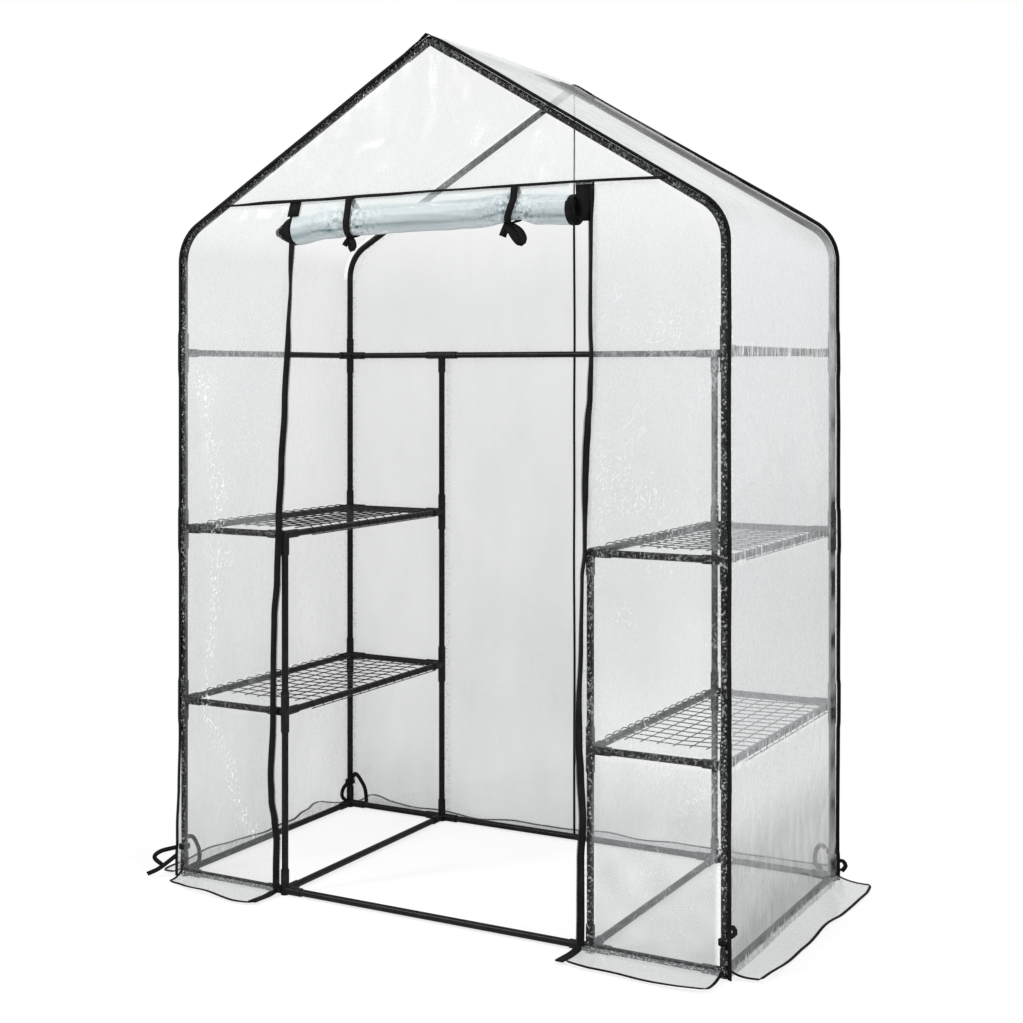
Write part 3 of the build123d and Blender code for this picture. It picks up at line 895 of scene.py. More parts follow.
FLAPS = (
    ((FILM_SIDE, FILM_FRONT + FLAP_CLEAR), (FILM_SIDE, FILM_BACK - FLAP_CLEAR), (1, 0), RIGHT_FLAP_SHARES),
    ((-FILM_SIDE, FILM_FRONT + FLAP_CLEAR), (-FILM_SIDE, FILM_BACK - FLAP_CLEAR), (-1, 0), LEFT_FLAP_SHARES),
    ((-FILM_SIDE + FLAP_CLEAR, FILM_BACK), (FILM_SIDE - FLAP_CLEAR, FILM_BACK), (0, 1), BACK_FLAP_SHARES),
    ((-FILM_SIDE + FLAP_CLEAR, FILM_FRONT), (left_zip(0.0), FILM_FRONT), (0, -1), FRONT_LEFT_FLAP_SHARES),
    ((right_zip(0.0), FILM_FRONT), (FILM_SIDE - FLAP_CLEAR, FILM_FRONT), (0, -1), FRONT_RIGHT_FLAP_SHARES),
)


def flap_rows(start, end, outward, shares):
    """Rows of a flap from the foot of the wall out to its edge, lying in waves on the ground."""
    start = Vector((*start, 0.0))
    end = Vector((*end, 0.0))
    outward = Vector((*outward, 0.0))
    length = (end - start).length
    rows = []
    for share in steps(0.0, 1.0, FLAP_STEP / SKIRT_WIDTH):
        row = []
        for way in steps(0.0, length, FLAP_STEP):
            foot = start + (end - start) * (way / length)
            corner = max(min(way, length - way, FLAP_ROUND), 0.0) / FLAP_ROUND
            wave = wobble(foot.x / FLAP_WAVE_SIZE, foot.y / FLAP_WAVE_SIZE, 4.2)
            rounding = 1 - FLAP_ROUND_SHARE + FLAP_ROUND_SHARE * math.sqrt(corner)
            width = SKIRT_WIDTH * (between(shares, way / length) + FLAP_WAVE_SHARE * wave) * rounding
            point = foot + outward * (width * share)
            ripple = FLAP_LEVEL + wobble(point.x / FLAP_WAVE_SIZE, point.y / FLAP_WAVE_SIZE, 8.8)
            point.z = FLAP_FLOOR + FLAP_FOOT * (1 - share) ** 3 + FLAP_RIPPLE * max(ripple, 0.0) * share
            row.append(point)
        rows.append(row)
    return rows


def ground_flaps():
    film, tape = Builder(), Builder()
    for start, end, outward, shares in FLAPS:
        rows = flap_rows(start, end, outward, shares)
        film.grid(rows)
        rim = [row[0] for row in rows] + rows[-1][1:-1] + [row[-1] for row in reversed(rows)]
        inner = [row[1] for row in rows] + rows[-2][1:-1] + [row[-2] for row in reversed(rows)]
        across = [inside - edge for inside, edge in zip(inner, rim)]
        tape.strip(rim, across, EDGE_TAPE_WIDTH, EDGE_TAPE_THICKNESS)
    edging = tape.piece("skirt_edging", TAPE, "black_tape", smooth=False)
    skirt = film.piece("ground_skirt_film", FILM, "clear_film")
    paint_points(skirt, FILM_LAYERS, [[FLAP_PAINT] * len(skirt.data.vertices)])
    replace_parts(skirt, "ground_skirt")


ground_flaps()

# Bindings, seams and zips
BINDING_SIDE_WIDTH = 0.009
BINDING_THICKNESS = 0.0014
BINDING_STEP = 0.012
BINDING_WAVE = 0.001
BINDING_WAVE_SIZE = 0.17
FIN_SWING = 10.0
FIN_SWING_SIZE = 0.11
EAVE_ALONG = WALL_TOP + BEND_LENGTH
APEX_FOLD = 0.1
BACK_APEX_FOLD = 0.05
BACK_WIDE_WAY = 0.7
BACK_EAVE_WAY = 0.95
FRONT_FIN_TURNS = (
    (HALF_LENGTH - APEX_FOLD, 16.0), (HALF_LENGTH + APEX_FOLD, 150.0), (2 * HALF_LENGTH, 165.0),
)
FRONT_FIN_WIDTHS = (
    (HALF_LENGTH, 0.0085), (2 * HALF_LENGTH - EAVE_ALONG, 0.007), (2 * HALF_LENGTH - WALL_TOP, 0.0095),
)
BACK_FIN_TURNS = ((HALF_LENGTH - BACK_APEX_FOLD, 90.0), (HALF_LENGTH + BACK_APEX_FOLD, 175.0))
BACK_FIN_WIDTHS = (
    (HALF_LENGTH - BACK_APEX_FOLD, 0.006), (HALF_LENGTH + BACK_APEX_FOLD, 0.0045),
    (HALF_LENGTH + BACK_WIDE_WAY, 0.0085), (HALF_LENGTH + BACK_EAVE_WAY, 0.006),
)
HEADER_WIDTH = 0.0065
HEADER_UNEVEN = 0.0022
HEADER_UNEVEN_SIZE = 0.12
HEADER_WAVE = 0.001
HEADER_WAVE_SIZE = 0.09
HEADER_RISE = ((-0.6, 0.0), (-0.3, 0.002), (-0.1, 0.004), (0.2, 0.006), (0.45, 0.0065), (0.6, 0.004))
TAPE_THICKNESS = 0.002
SEAM_WIDTHS = ((1.6, 0.006), (1.7, 0.0035))
SEAM_WAVE = 0.002
SEAM_WAVE_SIZE = 0.3
SEAM_STAND = 0.002
HEADER_STAND = 0.009
HEADER_INSET = 0.014
ZIP_WIDTH = 0.0165
ZIP_THICKNESS = 0.0022
ZIP_STAND = 0.003
LEFT_ZIP_TWIST = ((0.0, 0.1), (0.5, -0.1), (0.9, 0.1), (1.28, -0.05), (1.38, -0.5), (1.44, -0.6),
                  (1.52, -0.25), (1.6, 0.0))
RIGHT_ZIP_TWIST = ((0.0, 0.0), (0.25, -0.2), (0.45, -0.1), (0.6, -0.65), (0.78, -0.8), (0.9, -0.7),
                   (1.0, -0.3), (1.1, -0.18), (1.2, -0.5), (1.3, -0.72), (1.45, -0.78), (1.56, -0.7),
                   (1.62, -0.2))
ZIP_SWAY = 0.001
ZIP_SWAY_SIZE = 0.21
ZIP_FOOT = 0.012
ZIP_RUN_OUT = 0.085
RUN_OUT_LEAN = 0.1
RUN_OUT_DROP_SHARE = 0.4
RUN_OUT_DROP_WAY = 0.03
LEFT_TAB = -0.3585
RIGHT_TAB = (0.389, 0.391, 0.398)
TAB_WIDTHS = [0.031, 0.028, 0.014]
TAB_LENGTH = 0.078
TAB_TAPER_SHARE = 0.75
TAB_SHARES = (0.0, 0.35, 0.66)
TAB_STAND = 0.004
TOOTH_PITCH = 0.003
TOOTH_LENGTH = 0.0045
TOOTH_WIDTH = 0.0016
TOOTH_HEIGHT = 0.0034


def binding(name, node_name, y, outward, stray, turns, widths):
    """Tape folded over a seam of the main sheet: a fin that leans either way, and a leg on the sheet."""
    built = Builder()
    fins, fin_ways, fin_widths, legs = [], [], [], []
    away = Vector((0.0, outward, 0.0))
    for along in steps(0.0, 2 * HALF_LENGTH, BINDING_STEP):
        x, z, out_x, out_z = whole_outline(along)
        out = Vector((out_x, 0.0, out_z))
        swing = FIN_SWING * wobble(along / FIN_SWING_SIZE, outward * 3.0, 2.5)
        turn = math.radians(between(turns, along) + swing)
        fin = -out * math.cos(turn) + away * math.sin(turn)
        width = between(widths, along)
        wave = BINDING_WAVE * max(wobble(along / BINDING_WAVE_SIZE, outward * 5.0, 7.5), 0.0) + stray(x, z)
        stand = BINDING_THICKNESS - hug(z)
        seam = Vector((x, y, z)) + out * (wave + stand) + away * stand
        fins.append(seam + fin * (width / 2))
        fin_ways.append(fin)
        fin_widths.append(width)
        legs.append(seam - away * (BINDING_SIDE_WIDTH / 2))
    built.strip(fins, fin_ways, fin_widths, BINDING_THICKNESS)
    built.strip(legs, [away] * len(legs), BINDING_SIDE_WIDTH, BINDING_THICKNESS)
    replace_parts(built.piece(name, TAPE, "black_tape"), node_name)


def header_line(x):
    """How high the header runs: it is drawn up a little towards the right."""
    return HEADER + between(HEADER_RISE, x) + HEADER_WAVE * wobble(x / HEADER_WAVE_SIZE, 1.5, 0.0)


def header_seam():
    built = Builder()
    reach = half_width(HEADER) - HEADER_INSET
    path, widths = [], []
    for x in steps(-reach, reach, BINDING_STEP):
        path.append(Vector((x, FILM_FRONT - HEADER_STAND, header_line(x))))
        widths.append(HEADER_WIDTH + HEADER_UNEVEN * wobble(x / HEADER_UNEVEN_SIZE, 6.5, 0.0))
    built.strip(path, [UP] * len(path), widths, TAPE_THICKNESS)
    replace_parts(built.piece("header_tape", TAPE, "black_tape"), "door_header")


def back_seam():
    built = Builder()
    path, widths = [], []
    for z in steps(0.0, FILM_TOP, BINDING_STEP):
        widths.append(between(SEAM_WIDTHS, z))
        path.append(Vector((SEAM_WAVE * wobble(z / SEAM_WAVE_SIZE, 2.0, 0.0), FILM_BACK + SEAM_STAND, z)))
    built.strip(path, [ALONG_X] * len(path), widths, TAPE_THICKNESS)
    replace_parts(built.piece("back_seam_tape", TAPE, "black_tape"), "back_centre_seam")


def zips():
    """Two zips that twist as they hang, with teeth on the doorway side, run out over the flaps."""
    tape, teeth = Builder(), Builder()
    left_tab = [hanging_point(LEFT_TAB, share) - ALONG_Y * TAB_STAND for share in TAB_SHARES]
    heights = (header_line(RIGHT_TAB[0]), HEADER - TAB_TAPER_SHARE * TAB_LENGTH, HEADER - TAB_LENGTH)
    right_tab = [Vector((x, FILM_FRONT - ZIP_STAND, z)) for x, z in zip(RIGHT_TAB, heights)]
    hung = (
        (left_zip, 1, LEFT_ZIP_TWIST, left_tab, TAB_WIDTHS[0]),
        (right_zip, -1, RIGHT_ZIP_TWIST, right_tab, TAB_WIDTHS),
    )
    for place, inward, twist, tab, tab_widths in hung:
        path, across = [], []
        for z in steps(header_line(place(HEADER)), ZIP_FOOT, BINDING_STEP):
            swing = between(twist, z)
            sway = ZIP_SWAY * wobble(z / ZIP_SWAY_SIZE, inward * 4.0, 6.5)
            path.append(Vector((place(z) + sway, FILM_FRONT - ZIP_STAND, z)))
            across.append(Vector((math.cos(swing), math.sin(swing), 0.0)))
        foot = path[-1]
        for way in steps(BINDING_STEP, ZIP_RUN_OUT, BINDING_STEP):
            drop = -RUN_OUT_DROP_SHARE * ZIP_FOOT * min(way / RUN_OUT_DROP_WAY, 1.0)
            path.append(foot + Vector((-RUN_OUT_LEAN * way, -way, drop)))
            across.append(ALONG_X)
        tape.strip(path, across, ZIP_WIDTH, ZIP_THICKNESS)
        tape.strip(tab, [ALONG_X] * len(tab), tab_widths, ZIP_THICKNESS)
        fine = smooth_path(path, TOOTH_PITCH)
        for i in range(1, len(fine) - 1):
            side = across[min(i * len(path) // len(fine), len(across) - 1)].normalized()
            ahead = (fine[i + 1] - fine[i - 1]).normalized()
            root = fine[i] + side * (inward * (ZIP_WIDTH / 2 - TOOTH_LENGTH / 3))
            tip = root + side * (inward * TOOTH_LENGTH)
            teeth.strip([root, tip], [ahead, ahead], TOOTH_WIDTH, TOOTH_HEIGHT)
    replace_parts(tape.piece("zip_tapes", TAPE, "black_tape"), "door_zips")
    teeth.piece("zip_teeth", CONNECTOR, "black_tape", smooth=False)


binding("front_edge_binding", "front_binding", FILM_FRONT, -1, front_stray, FRONT_FIN_TURNS, FRONT_FIN_WIDTHS)
binding("back_edge_binding", "back_binding", FILM_BACK, 1, back_stray, BACK_FIN_TURNS, BACK_FIN_WIDTHS)
header_seam()
back_seam()

# The rolled door: film that leads from the header down to the front of a roll, which hangs under the header
ROLL_RADIUS = 0.0345
ROLL_FORWARD = 0.022
ROLL_CORE = 0.007
ROLL_TURNS = 10
ROLL_SEGMENTS = 40
ROLL_STEP = 0.008
ROLL_START = -0.362
ROLL_END = 0.358
ROLL_SLIP = 0.05
ROLL_HANG = ((-0.4, 0.069), (-0.36, 0.066), (-0.28, 0.055), (-0.1, 0.049), (0.0, 0.048), (0.12, 0.047),
             (0.215, 0.037), (0.28, 0.046), (0.37, 0.051))
ROLL_SLIP_SHARE = 0.2
ROLL_UNEVEN_SHARE = 0.04
ROLL_UNEVEN_SIZE = 0.09
ROLL_PINCH_SHARES = (0.1, 0.15)
PINCH_REACH = 0.028
ROLL_WRINKLE = 0.0011
WRINKLE_LEVEL = 0.6
TIE_WRINKLE = 1.4
WRINKLE_SIZE = 0.03
WRINKLE_TURNS = 1.4
FINE_WRINKLE_SHARE = 0.6
FINE_WRINKLE_SIZE = 0.012
FINE_WRINKLE_TURNS = 2.0
CRUMPLE_REACH = 0.045
HANG_ROWS = 8
COIL_TAPE_WIDTH = 0.014
COIL_STRAY = 0.004
COIL_STRAY_TURN = 4.0
TIE_SHIFT = 0.0125
TIES = (TIE_SHIFT - TIE_SPREAD, TIE_SHIFT + TIE_SPREAD)
HANG_TONE = 0.7
HANG_COVER = 0.5
HANG_BULGE = 0.004
HANG_BULGE_SIZE = 0.06
HANG_BULGE_ROWS = 2.0
# The roll's painted colour by angle from the back, partly its layers and partly painted shade: paler on the
# upper front, darker below it with a dark line under the front, middling underneath.
ROLL_TONES_AND_SHADE = ((130, 0.66), (165, 0.54), (185, 0.47), (201, 0.4), (208, 0.1), (216, 0.36), (222, 0.46),
              (245, 0.56), (280, 0.5))


def roll_radius(x):
    pinch = sum(
        share * math.exp(-(((x - tie) / PINCH_REACH) ** 2)) for share, tie in zip(ROLL_PINCH_SHARES, TIES)
    )
    return ROLL_RADIUS * (1 - pinch + ROLL_UNEVEN_SHARE * wobble(x / ROLL_UNEVEN_SIZE, 5.0, 0.0))


def roll_axis(x):
    return Vector((x, FILM_FRONT - ROLL_FORWARD + ROLL_RADIUS, HEADER - between(ROLL_HANG, x)))


def touch_turn(x):
    """The angle, from the back, where the film from the header meets the roll."""
    away = roll_axis(x) - Vector((x, FILM_FRONT, HEADER))
    lean = math.asin(roll_radius(x) / away.length) - math.atan2(away.y, -away.z)
    return math.pi - lean


def hanging_point(x, share):
    """A place on the film between the header (share 0) and the roll (share 1)."""
    top = Vector((x, FILM_FRONT, header_line(x)))
    return top + (roll_point(x, touch_turn(x), 1.0) - top) * share


def near_ties(x):
    return max(math.exp(-abs(x - tie) / CRUMPLE_REACH) for tie in TIES)


def roll_point(x, turn, share):
    """A place on the roll: turn is the angle from the back, and share runs from the core to the outside."""
    radius = ROLL_CORE + (roll_radius(x) - ROLL_CORE) * share
    crease = abs(wobble(x / WRINKLE_SIZE, turn * share * WRINKLE_TURNS, 9.0))
    crease += FINE_WRINKLE_SHARE * wobble(x / FINE_WRINKLE_SIZE, turn * FINE_WRINKLE_TURNS, 3.0)
    radius += ROLL_WRINKLE * share**3 * crease * (WRINKLE_LEVEL + TIE_WRINKLE * near_ties(x))
    return roll_axis(x) + Vector((0.0, math.cos(turn), math.sin(turn))) * radius


def slipped(x, share):
    """The left end has slipped outward, the most at the core."""
    from_right = (ROLL_END - x) / (ROLL_END - ROLL_START)
    near_left = max(0.0, from_right - (1 - ROLL_SLIP_SHARE)) / ROLL_SLIP_SHARE
    return x - ROLL_SLIP * (1 - share) * near_left


def rolled_door():
    built = Builder()
    lengths = steps(ROLL_START, ROLL_END, ROLL_STEP)
    rows, paint = [], []
    count = ROLL_TURNS * ROLL_SEGMENTS
    for i in range(count + 1):
        share = i / count
        row, colours = [], []
        for x in lengths:
            turn = touch_turn(x) + 2 * math.pi * (count - i) / ROLL_SEGMENTS
            row.append(roll_point(slipped(x, share), turn, share))
            colours.append((between(ROLL_TONES_AND_SHADE, math.degrees(turn) % 360), 1.0, near_ties(x)))
        rows.append(row)
        paint.append(colours)
    for share in steps(0.0, 1.0, 1 / HANG_ROWS)[1:]:
        row, colours = [], []
        for x, edge, colour in zip(lengths, rows[count], paint[count]):
            top = Vector((x, FILM_FRONT, header_line(x)))
            swell = wobble(x / HANG_BULGE_SIZE, share * HANG_BULGE_ROWS, 4.0)
            bulge = HANG_BULGE * math.sin(math.pi * share) * swell
            row.append(edge + (top - edge) * share + Vector((0.0, -abs(bulge), 0.0)))
            clear = min(2 * share, 1.0)
            tone_and_shade = colour[0] + (HANG_TONE - colour[0]) * clear
            colours.append((tone_and_shade, 1 + (HANG_COVER - 1) * clear, colour[2] * (1 - share)))
        rows.append(row)
        paint.append(colours)
    built.grid(rows)
    roll = built.piece("rolled_door_film", ROLL_FILM, "rolled_film")
    paint_points(roll, ("tone_and_shade", "cover", "crumple"), paint)
    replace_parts(roll, "door_roll")


def roll_ends():
    """The door's halves of the zips, wound up with it."""
    built = Builder()
    count = ROLL_TURNS * ROLL_SEGMENTS
    for x, outward in ((ROLL_START, -1), (ROLL_END, 1)):
        path = []
        for i in range(0, count + 1, 2):
            share = i / count
            turn = touch_turn(x) + 2 * math.pi * (count - i) / ROLL_SEGMENTS
            stray = COIL_STRAY * wobble(turn / COIL_STRAY_TURN, outward * 2.0, 5.5)
            point = roll_point(slipped(x, share), turn, share)
            path.append(point + ALONG_X * (outward * COIL_TAPE_WIDTH / 2 + stray))
        built.strip(path, [ALONG_X] * len(path), COIL_TAPE_WIDTH, TAPE_THICKNESS / 2)
    built.piece("roll_end_tapes", TAPE, "black_tape")


rolled_door()
roll_ends()
zips()

# Door ties: tape from the header round the roll, knotted under it
TIE_WIDTH = 0.017
TIE_THICKNESS = 0.0016
TIE_STEP = 0.005
TIE_GAP = 0.0015
TIE_BEHIND = 0.006
TIE_SHARES = (0.0, 0.25, 0.5, 0.75)
TIE_LEAN_POWER = 1.5
TIE_FRONT_END = 250
TIE_BACK_TURNS = (60, 20, -20, -60)
TIE_LEANS = (-0.008, -0.026)
KNOT_TURN = 258
KNOT_SIZE = 0.006
KNOT_SEGMENTS = 13
KNOT_WIDTH_SHARE = 0.7
LOOP_WIDTHS = (0.0125, 0.0165)
TAPE_FACE = Vector((0.48, -0.88, 0.0))
SWING_SIZE = 0.03


def facing(path, swing=0.0):
    """Width directions that turn a tape's face to the front and right, swung a little as it goes."""
    across = []
    for i, point in enumerate(path):
        ahead = (path[min(i + 1, len(path) - 1)] - path[max(i - 1, 0)]).normalized()
        side = ahead.cross(TAPE_FACE).normalized()
        angle = swing * wobble(point.x / SWING_SIZE, point.z / SWING_SIZE, 1.5)
        across.append(side * math.cos(angle) + TAPE_FACE * math.sin(angle))
    return across


def on_roll(x, degrees):
    """A place for a tie's tape on the roll, just off its surface."""
    point = roll_point(x, math.radians(degrees), 1.0)
    return point + (point - roll_axis(point.x)).normalized() * (TIE_THICKNESS + TIE_GAP)


def tie(built, x, lean, loop, tail, loop_width):
    """One tie: round both sides of the roll to a knot, with a loop and a tail given from the knot."""
    knot = roll_point(x + lean, math.radians(KNOT_TURN), 1.0) - UP * KNOT_SIZE
    header = Vector((x, FILM_FRONT - HEADER_STAND - SEAM_STAND, header_line(x)))
    touch = math.degrees(touch_turn(x))
    front = [header]
    for share in TIE_SHARES:
        front.append(on_roll(x + lean * share**TIE_LEAN_POWER, touch + (TIE_FRONT_END - touch) * share))
    front.append(knot)
    behind = [header + ALONG_Y * TIE_BEHIND]
    for degrees in TIE_BACK_TURNS:
        behind.append(on_roll(x + lean / 2, degrees))
    behind.append(knot)
    for points in (front, behind):
        path = smooth_path(points, TIE_STEP)
        built.strip(path, [ALONG_X] * len(path), TIE_WIDTH, TIE_THICKNESS)
    for points in (loop, tail):
        path = smooth_path([knot + Vector(point) for point in points], TIE_STEP)
        built.strip(path, facing(path), loop_width, TIE_THICKNESS)
    turns = []
    for k in range(KNOT_SEGMENTS + 1):
        angle = 2 * math.pi * k / KNOT_SEGMENTS
        turns.append(knot + Vector((KNOT_SIZE * math.cos(angle), 0.0, KNOT_SIZE * math.sin(angle))))
    built.strip(turns, [ALONG_Y] * len(turns), TIE_WIDTH * KNOT_WIDTH_SHARE, TIE_THICKNESS * 2)


def door_ties():
    built = Builder()
    small_loop = [(0, 0, 0), (0.01, -0.004, -0.007), (0.015, -0.006, -0.02), (0.006, -0.004, -0.027),
                  (0.0, 0.0, -0.01)]
    small_tail = [(0, 0, 0), (-0.006, -0.004, -0.008), (-0.012, -0.006, -0.018)]
    tie(built, TIES[0], TIE_LEANS[0], small_loop, small_tail, LOOP_WIDTHS[0])
    loop = [(0, 0, 0), (0.012, -0.006, -0.018), (0.027, -0.008, -0.037), (0.036, -0.006, -0.043),
            (0.04, -0.002, -0.034), (0.028, 0.0, -0.016), (0, 0, 0)]
    tail = [(0, 0, 0), (-0.004, -0.004, -0.012), (-0.01, -0.006, -0.028)]
    tie(built, TIES[1], TIE_LEANS[1], loop, tail, LOOP_WIDTHS[1])
    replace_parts(built.piece("door_tie_tapes", TAPE, "black_tape"), "door_ties")


door_ties()

# Corner ties: tape round each foot, with loops and tails
CORNER_TIE_WIDTH = 0.0105
CORNER_TIE_THICKNESS = 0.0016
CORNER_TIE_RISE = 0.072
CORNER_TIE_STAND = 0.0128
RING_SEGMENTS = 32


def corner_ties():
    built = Builder()
    corners = (
        (LEFT, FRONT, 1.1, (
            ((0, 0, 0.02), (0.03, -0.005, 0.028), (0.052, -0.008, 0.0), (0.048, -0.006, -0.03),
             (0.022, 0, -0.045)),
            ((-0.012, -0.016, 0.0), (-0.05, -0.03, -0.012), (-0.07, -0.03, -0.03), (-0.045, -0.03, -0.045)),
            ((-0.012, -0.016, -0.02), (-0.045, -0.04, -0.05), (-0.075, -0.05, -0.066)),
        )),
        (RIGHT, FRONT, 0.3, (
            ((0.012, -0.012, 0.034), (0.024, -0.014, 0.038), (0.027, -0.012, 0.026), (0.016, -0.012, 0.017)),
        )),
        (LEFT, BACK, 0.3, (
            ((0.033, -0.021, 0.03), (0.008, -0.021, 0.004), (-0.01, -0.021, -0.019), (-0.013, -0.021, -0.04),
             (0.007, -0.021, -0.055)),
            ((0.012, -0.016, 0.012), (0.033, -0.021, 0.03), (0.052, -0.021, 0.012), (0.065, -0.021, -0.01),
             (0.07, -0.021, -0.046)),
        )),
        (RIGHT, BACK, 0.9, (
            ((-0.01, -0.02, 0.01), (-0.018, -0.021, 0.017), (-0.031, -0.021, 0.008), (-0.036, -0.021, -0.017),
             (-0.031, -0.021, -0.036), (-0.016, -0.021, -0.038)),
            ((0.013, 0.014, -0.026), (0.023, 0.014, -0.025), (0.03, 0.014, -0.036), (0.02, 0.014, -0.05)),
        )),
    )
    for x, y, swing, tails in corners:
        middle = Vector((x, y, CORNER_TIE_RISE))
        ring, up = [], []
        for k in range(RING_SEGMENTS + 1):
            angle = 2 * math.pi * k / RING_SEGMENTS
            ring.append(middle + Vector((math.cos(angle), math.sin(angle), 0.0)) * CORNER_TIE_STAND)
            up.append(UP)
        built.strip(ring, up, CORNER_TIE_WIDTH, CORNER_TIE_THICKNESS)
        for points in tails:
            path = smooth_path([middle + Vector(point) for point in points], TIE_STEP)
            built.strip(path, facing(path, swing), CORNER_TIE_WIDTH, CORNER_TIE_THICKNESS)
    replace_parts(built.piece("corner_tie_tapes", TAPE, "black_tape"), "corner_ties")


corner_ties()

# Wire shelves
WIRE_RADIUS = 0.0012
WIRE_GAP = 0.0003
WIRE_HOOK = 0.0075
WIRE_COUNT = 7
CROSS_PITCH = 0.04
HOOK_SEGMENTS = 6
WIRE_WELD = 0.0004
EDGE_OVERHANG = 0.008
HOOK_SLACK = 0.003
MESH_SAG = 0.0015
WIRE_STRAY = 0.0012
WIRE_STRAY_SIZE = 0.05


def hook(x, y, z, radius, start):
    """A quarter turn of wire over a rail, from its first angle."""
    turns = [start - math.pi / 2 * k / HOOK_SEGMENTS for k in range(HOOK_SEGMENTS + 1)]
    return [Vector((x + radius * math.cos(turn), y, z + radius * math.sin(turn))) for turn in turns]


def shelf_wires(name, near, far, rail_z):
    """A welded mesh whose cross wires bend down over both long rails, with a wire along each row of hooks."""
    low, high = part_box(name)
    built = Builder()
    reach = TUBE_RADIUS + WIRE_RADIUS + WIRE_GAP
    bend = reach + HOOK_SLACK
    top = rail_z + reach
    hook_end = rail_z - WIRE_HOOK
    for y in steps(low.y + EDGE_OVERHANG, high.y - EDGE_OVERHANG, CROSS_PITCH):
        stray = WIRE_STRAY * wobble(y / WIRE_STRAY_SIZE, near, rail_z)
        path = [Vector((near - bend, y, hook_end))]
        path += hook(near, y, rail_z, bend, math.pi)
        path.append(Vector(((near + far) / 2, y + stray, top - MESH_SAG)))
        path += hook(far, y, rail_z, bend, math.pi / 2)
        path.append(Vector((far + bend, y, hook_end)))
        built.wire(path, WIRE_RADIUS)
    level = top - 2 * WIRE_RADIUS + WIRE_WELD
    lengthwise = []
    for k in range(WIRE_COUNT):
        share = (k + 1) / (WIRE_COUNT + 1)
        lengthwise.append((near + (far - near) * share, level - MESH_SAG * (1 - abs(2 * share - 1))))
    lengthwise += [(near - bend, hook_end), (far + bend, hook_end)]
    for x, z in lengthwise:
        built.wire([Vector((x, y, z)) for y in steps(low.y, high.y, CROSS_PITCH)], WIRE_RADIUS)
    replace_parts(built.piece(name + "_wires", WIRE, "shelf_wire"), name)


for side, near, far in (("left", LEFT, -INNER), ("right", INNER, RIGHT)):
    for level, rail_z in (("lower", LOWER), ("upper", UPPER)):
        shelf_wires(f"{side}_{level}_shelf_mesh", near, far, rail_z)

# Stage, light and camera
WHITE = (1.0, 1.0, 1.0, 1.0)
WORLD_STRENGTH = 0.6
FLOOR_COLOUR = (0.92, 0.92, 0.92, 1.0)
FLOOR_ROUGHNESS = 0.9
FLOOR_SIZE = 30.0
SHADOW_REACH = 1.1
SHADOW_END = 2.4
SHADOW_SHARE = 0.25
PHOTO_YAW = 28.54
CAMERA_PLACE = (1.9095, -3.4858, 1.2382)
LENS = 57.05
HORIZON_SHIFT = -0.1356
LIGHT_TARGET = (0.0, 0.0, 1.0)
LIGHTS = (
    ("key", (-2.4, -3.2, 3.4), 0.5, 1.8, 110.0),
    ("fill", (3.6, -1.4, 2.6), 0.5, 1.8, 90.0),
    ("top", (0.3, 0.6, 4.4), 1.6, 1.6, 80.0),
)


def white_world():
    world = bpy.data.worlds.new("studio")
    bpy.context.scene.world = world
    world.use_nodes = True
    tree = world.node_tree
    shade = tree.nodes["Background"]
    seen = node(tree, "ShaderNodeBackground")
    seen.inputs["Color"].default_value = WHITE
    shade.inputs["Color"].default_value = WHITE
    shade.inputs["Strength"].default_value = WORLD_STRENGTH
    path = node(tree, "ShaderNodeLightPath")
    direct = maths(tree, "MAXIMUM", path.outputs["Is Camera Ray"], path.outputs["Is Glossy Ray"])
    direct = maths(tree, "MAXIMUM", direct, path.outputs["Is Transmission Ray"])
    mix = node(tree, "ShaderNodeMixShader")
    tree.links.new(direct, mix.inputs["Fac"])
    tree.links.new(shade.outputs["Background"], mix.inputs[1])
    tree.links.new(seen.outputs["Background"], mix.inputs[2])
    tree.links.new(mix.outputs["Shader"], tree.nodes["World Output"].inputs["Surface"])


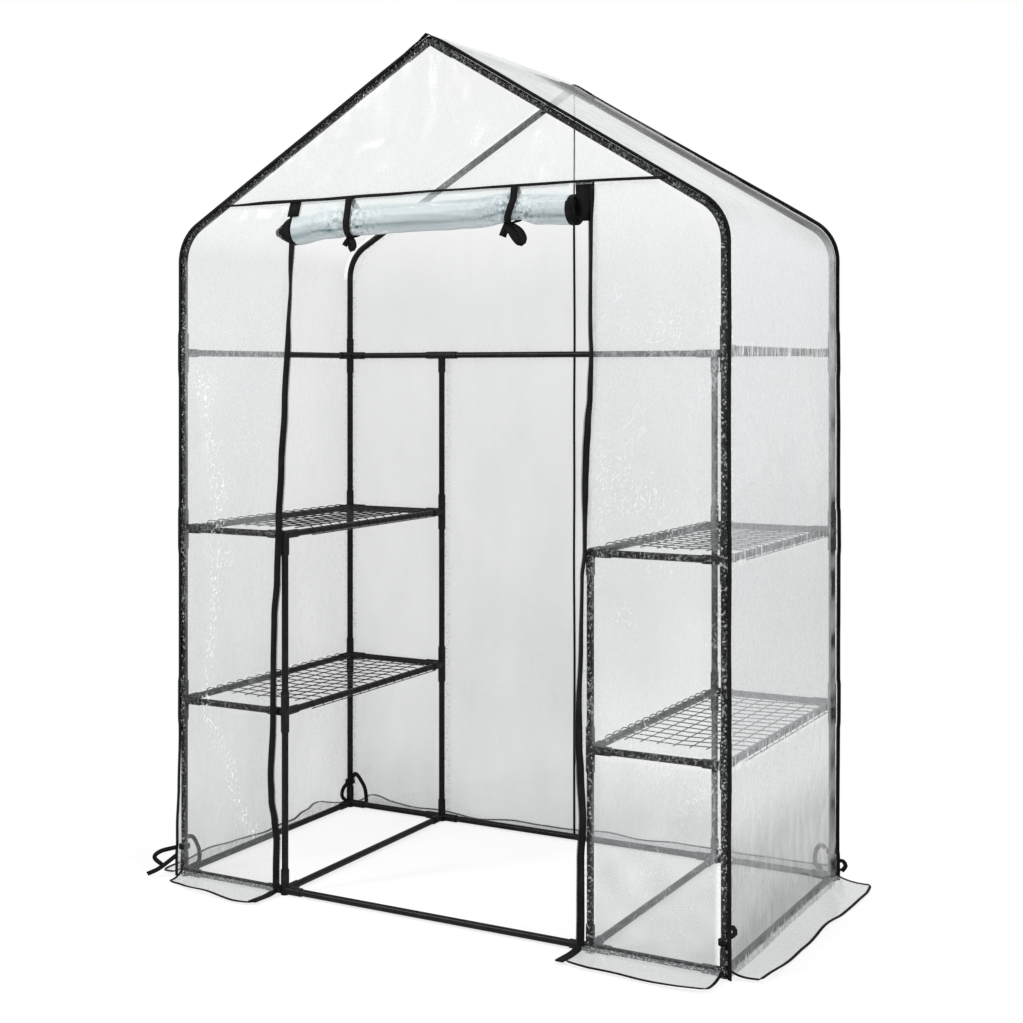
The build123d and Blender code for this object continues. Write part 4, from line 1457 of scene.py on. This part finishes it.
def white_floor():
    """A white floor that keeps a soft shadow near the object and fades into the background."""
    material, tree, shader = material_nodes("studio_floor")
    shader.inputs["Base Color"].default_value = FLOOR_COLOUR
    shader.inputs["Roughness"].default_value = FLOOR_ROUGHNESS
    glow = node(tree, "ShaderNodeEmission")
    away = node(tree, "ShaderNodeVectorMath", operation="LENGTH")
    tree.links.new(node(tree, "ShaderNodeTexCoord").outputs["Object"], away.inputs[0])
    white = ramp(tree, away.outputs["Value"], SHADOW_REACH, SHADOW_END, 1 - SHADOW_SHARE, 1.0)
    path = node(tree, "ShaderNodeLightPath")
    mix = node(tree, "ShaderNodeMixShader")
    tree.links.new(maths(tree, "MULTIPLY", path.outputs["Is Camera Ray"], white), mix.inputs["Fac"])
    tree.links.new(shader.outputs["BSDF"], mix.inputs[1])
    tree.links.new(glow.outputs["Emission"], mix.inputs[2])
    tree.links.new(mix.outputs["Shader"], tree.nodes["Material Output"].inputs["Surface"])
    half = FLOOR_SIZE / 2
    mesh = bpy.data.meshes.new("floor")
    corners = [(-half, -half, 0), (half, -half, 0), (half, half, 0), (-half, half, 0)]
    mesh.from_pydata(corners, [], [(0, 1, 2, 3)])
    floor = bpy.data.objects.new("floor", mesh)
    bpy.context.collection.objects.link(floor)
    mesh.materials.append(material)


def area_light(name, place, width, height, power):
    lamp = bpy.data.lights.new(name, "AREA")
    lamp.shape = "RECTANGLE"
    lamp.size = width
    lamp.size_y = height
    lamp.energy = power
    light = bpy.data.objects.new(name, lamp)
    light.location = place
    light.rotation_euler = (Vector(LIGHT_TARGET) - Vector(place)).to_track_quat("-Z", "Y").to_euler()
    bpy.context.collection.objects.link(light)


def photo_camera():
    data = bpy.data.cameras.new("photo_camera")
    data.lens = LENS
    data.shift_y = HORIZON_SHIFT
    camera = bpy.data.objects.new("photo_camera", data)
    camera.location = CAMERA_PLACE
    camera.rotation_euler = (math.radians(90), 0.0, math.radians(PHOTO_YAW))
    bpy.context.collection.objects.link(camera)
    bpy.context.scene.camera = camera


white_world()
white_floor()
for light in LIGHTS:
    area_light(*light)
photo_camera()
bpy.context.scene.view_settings.view_transform = "Standard"
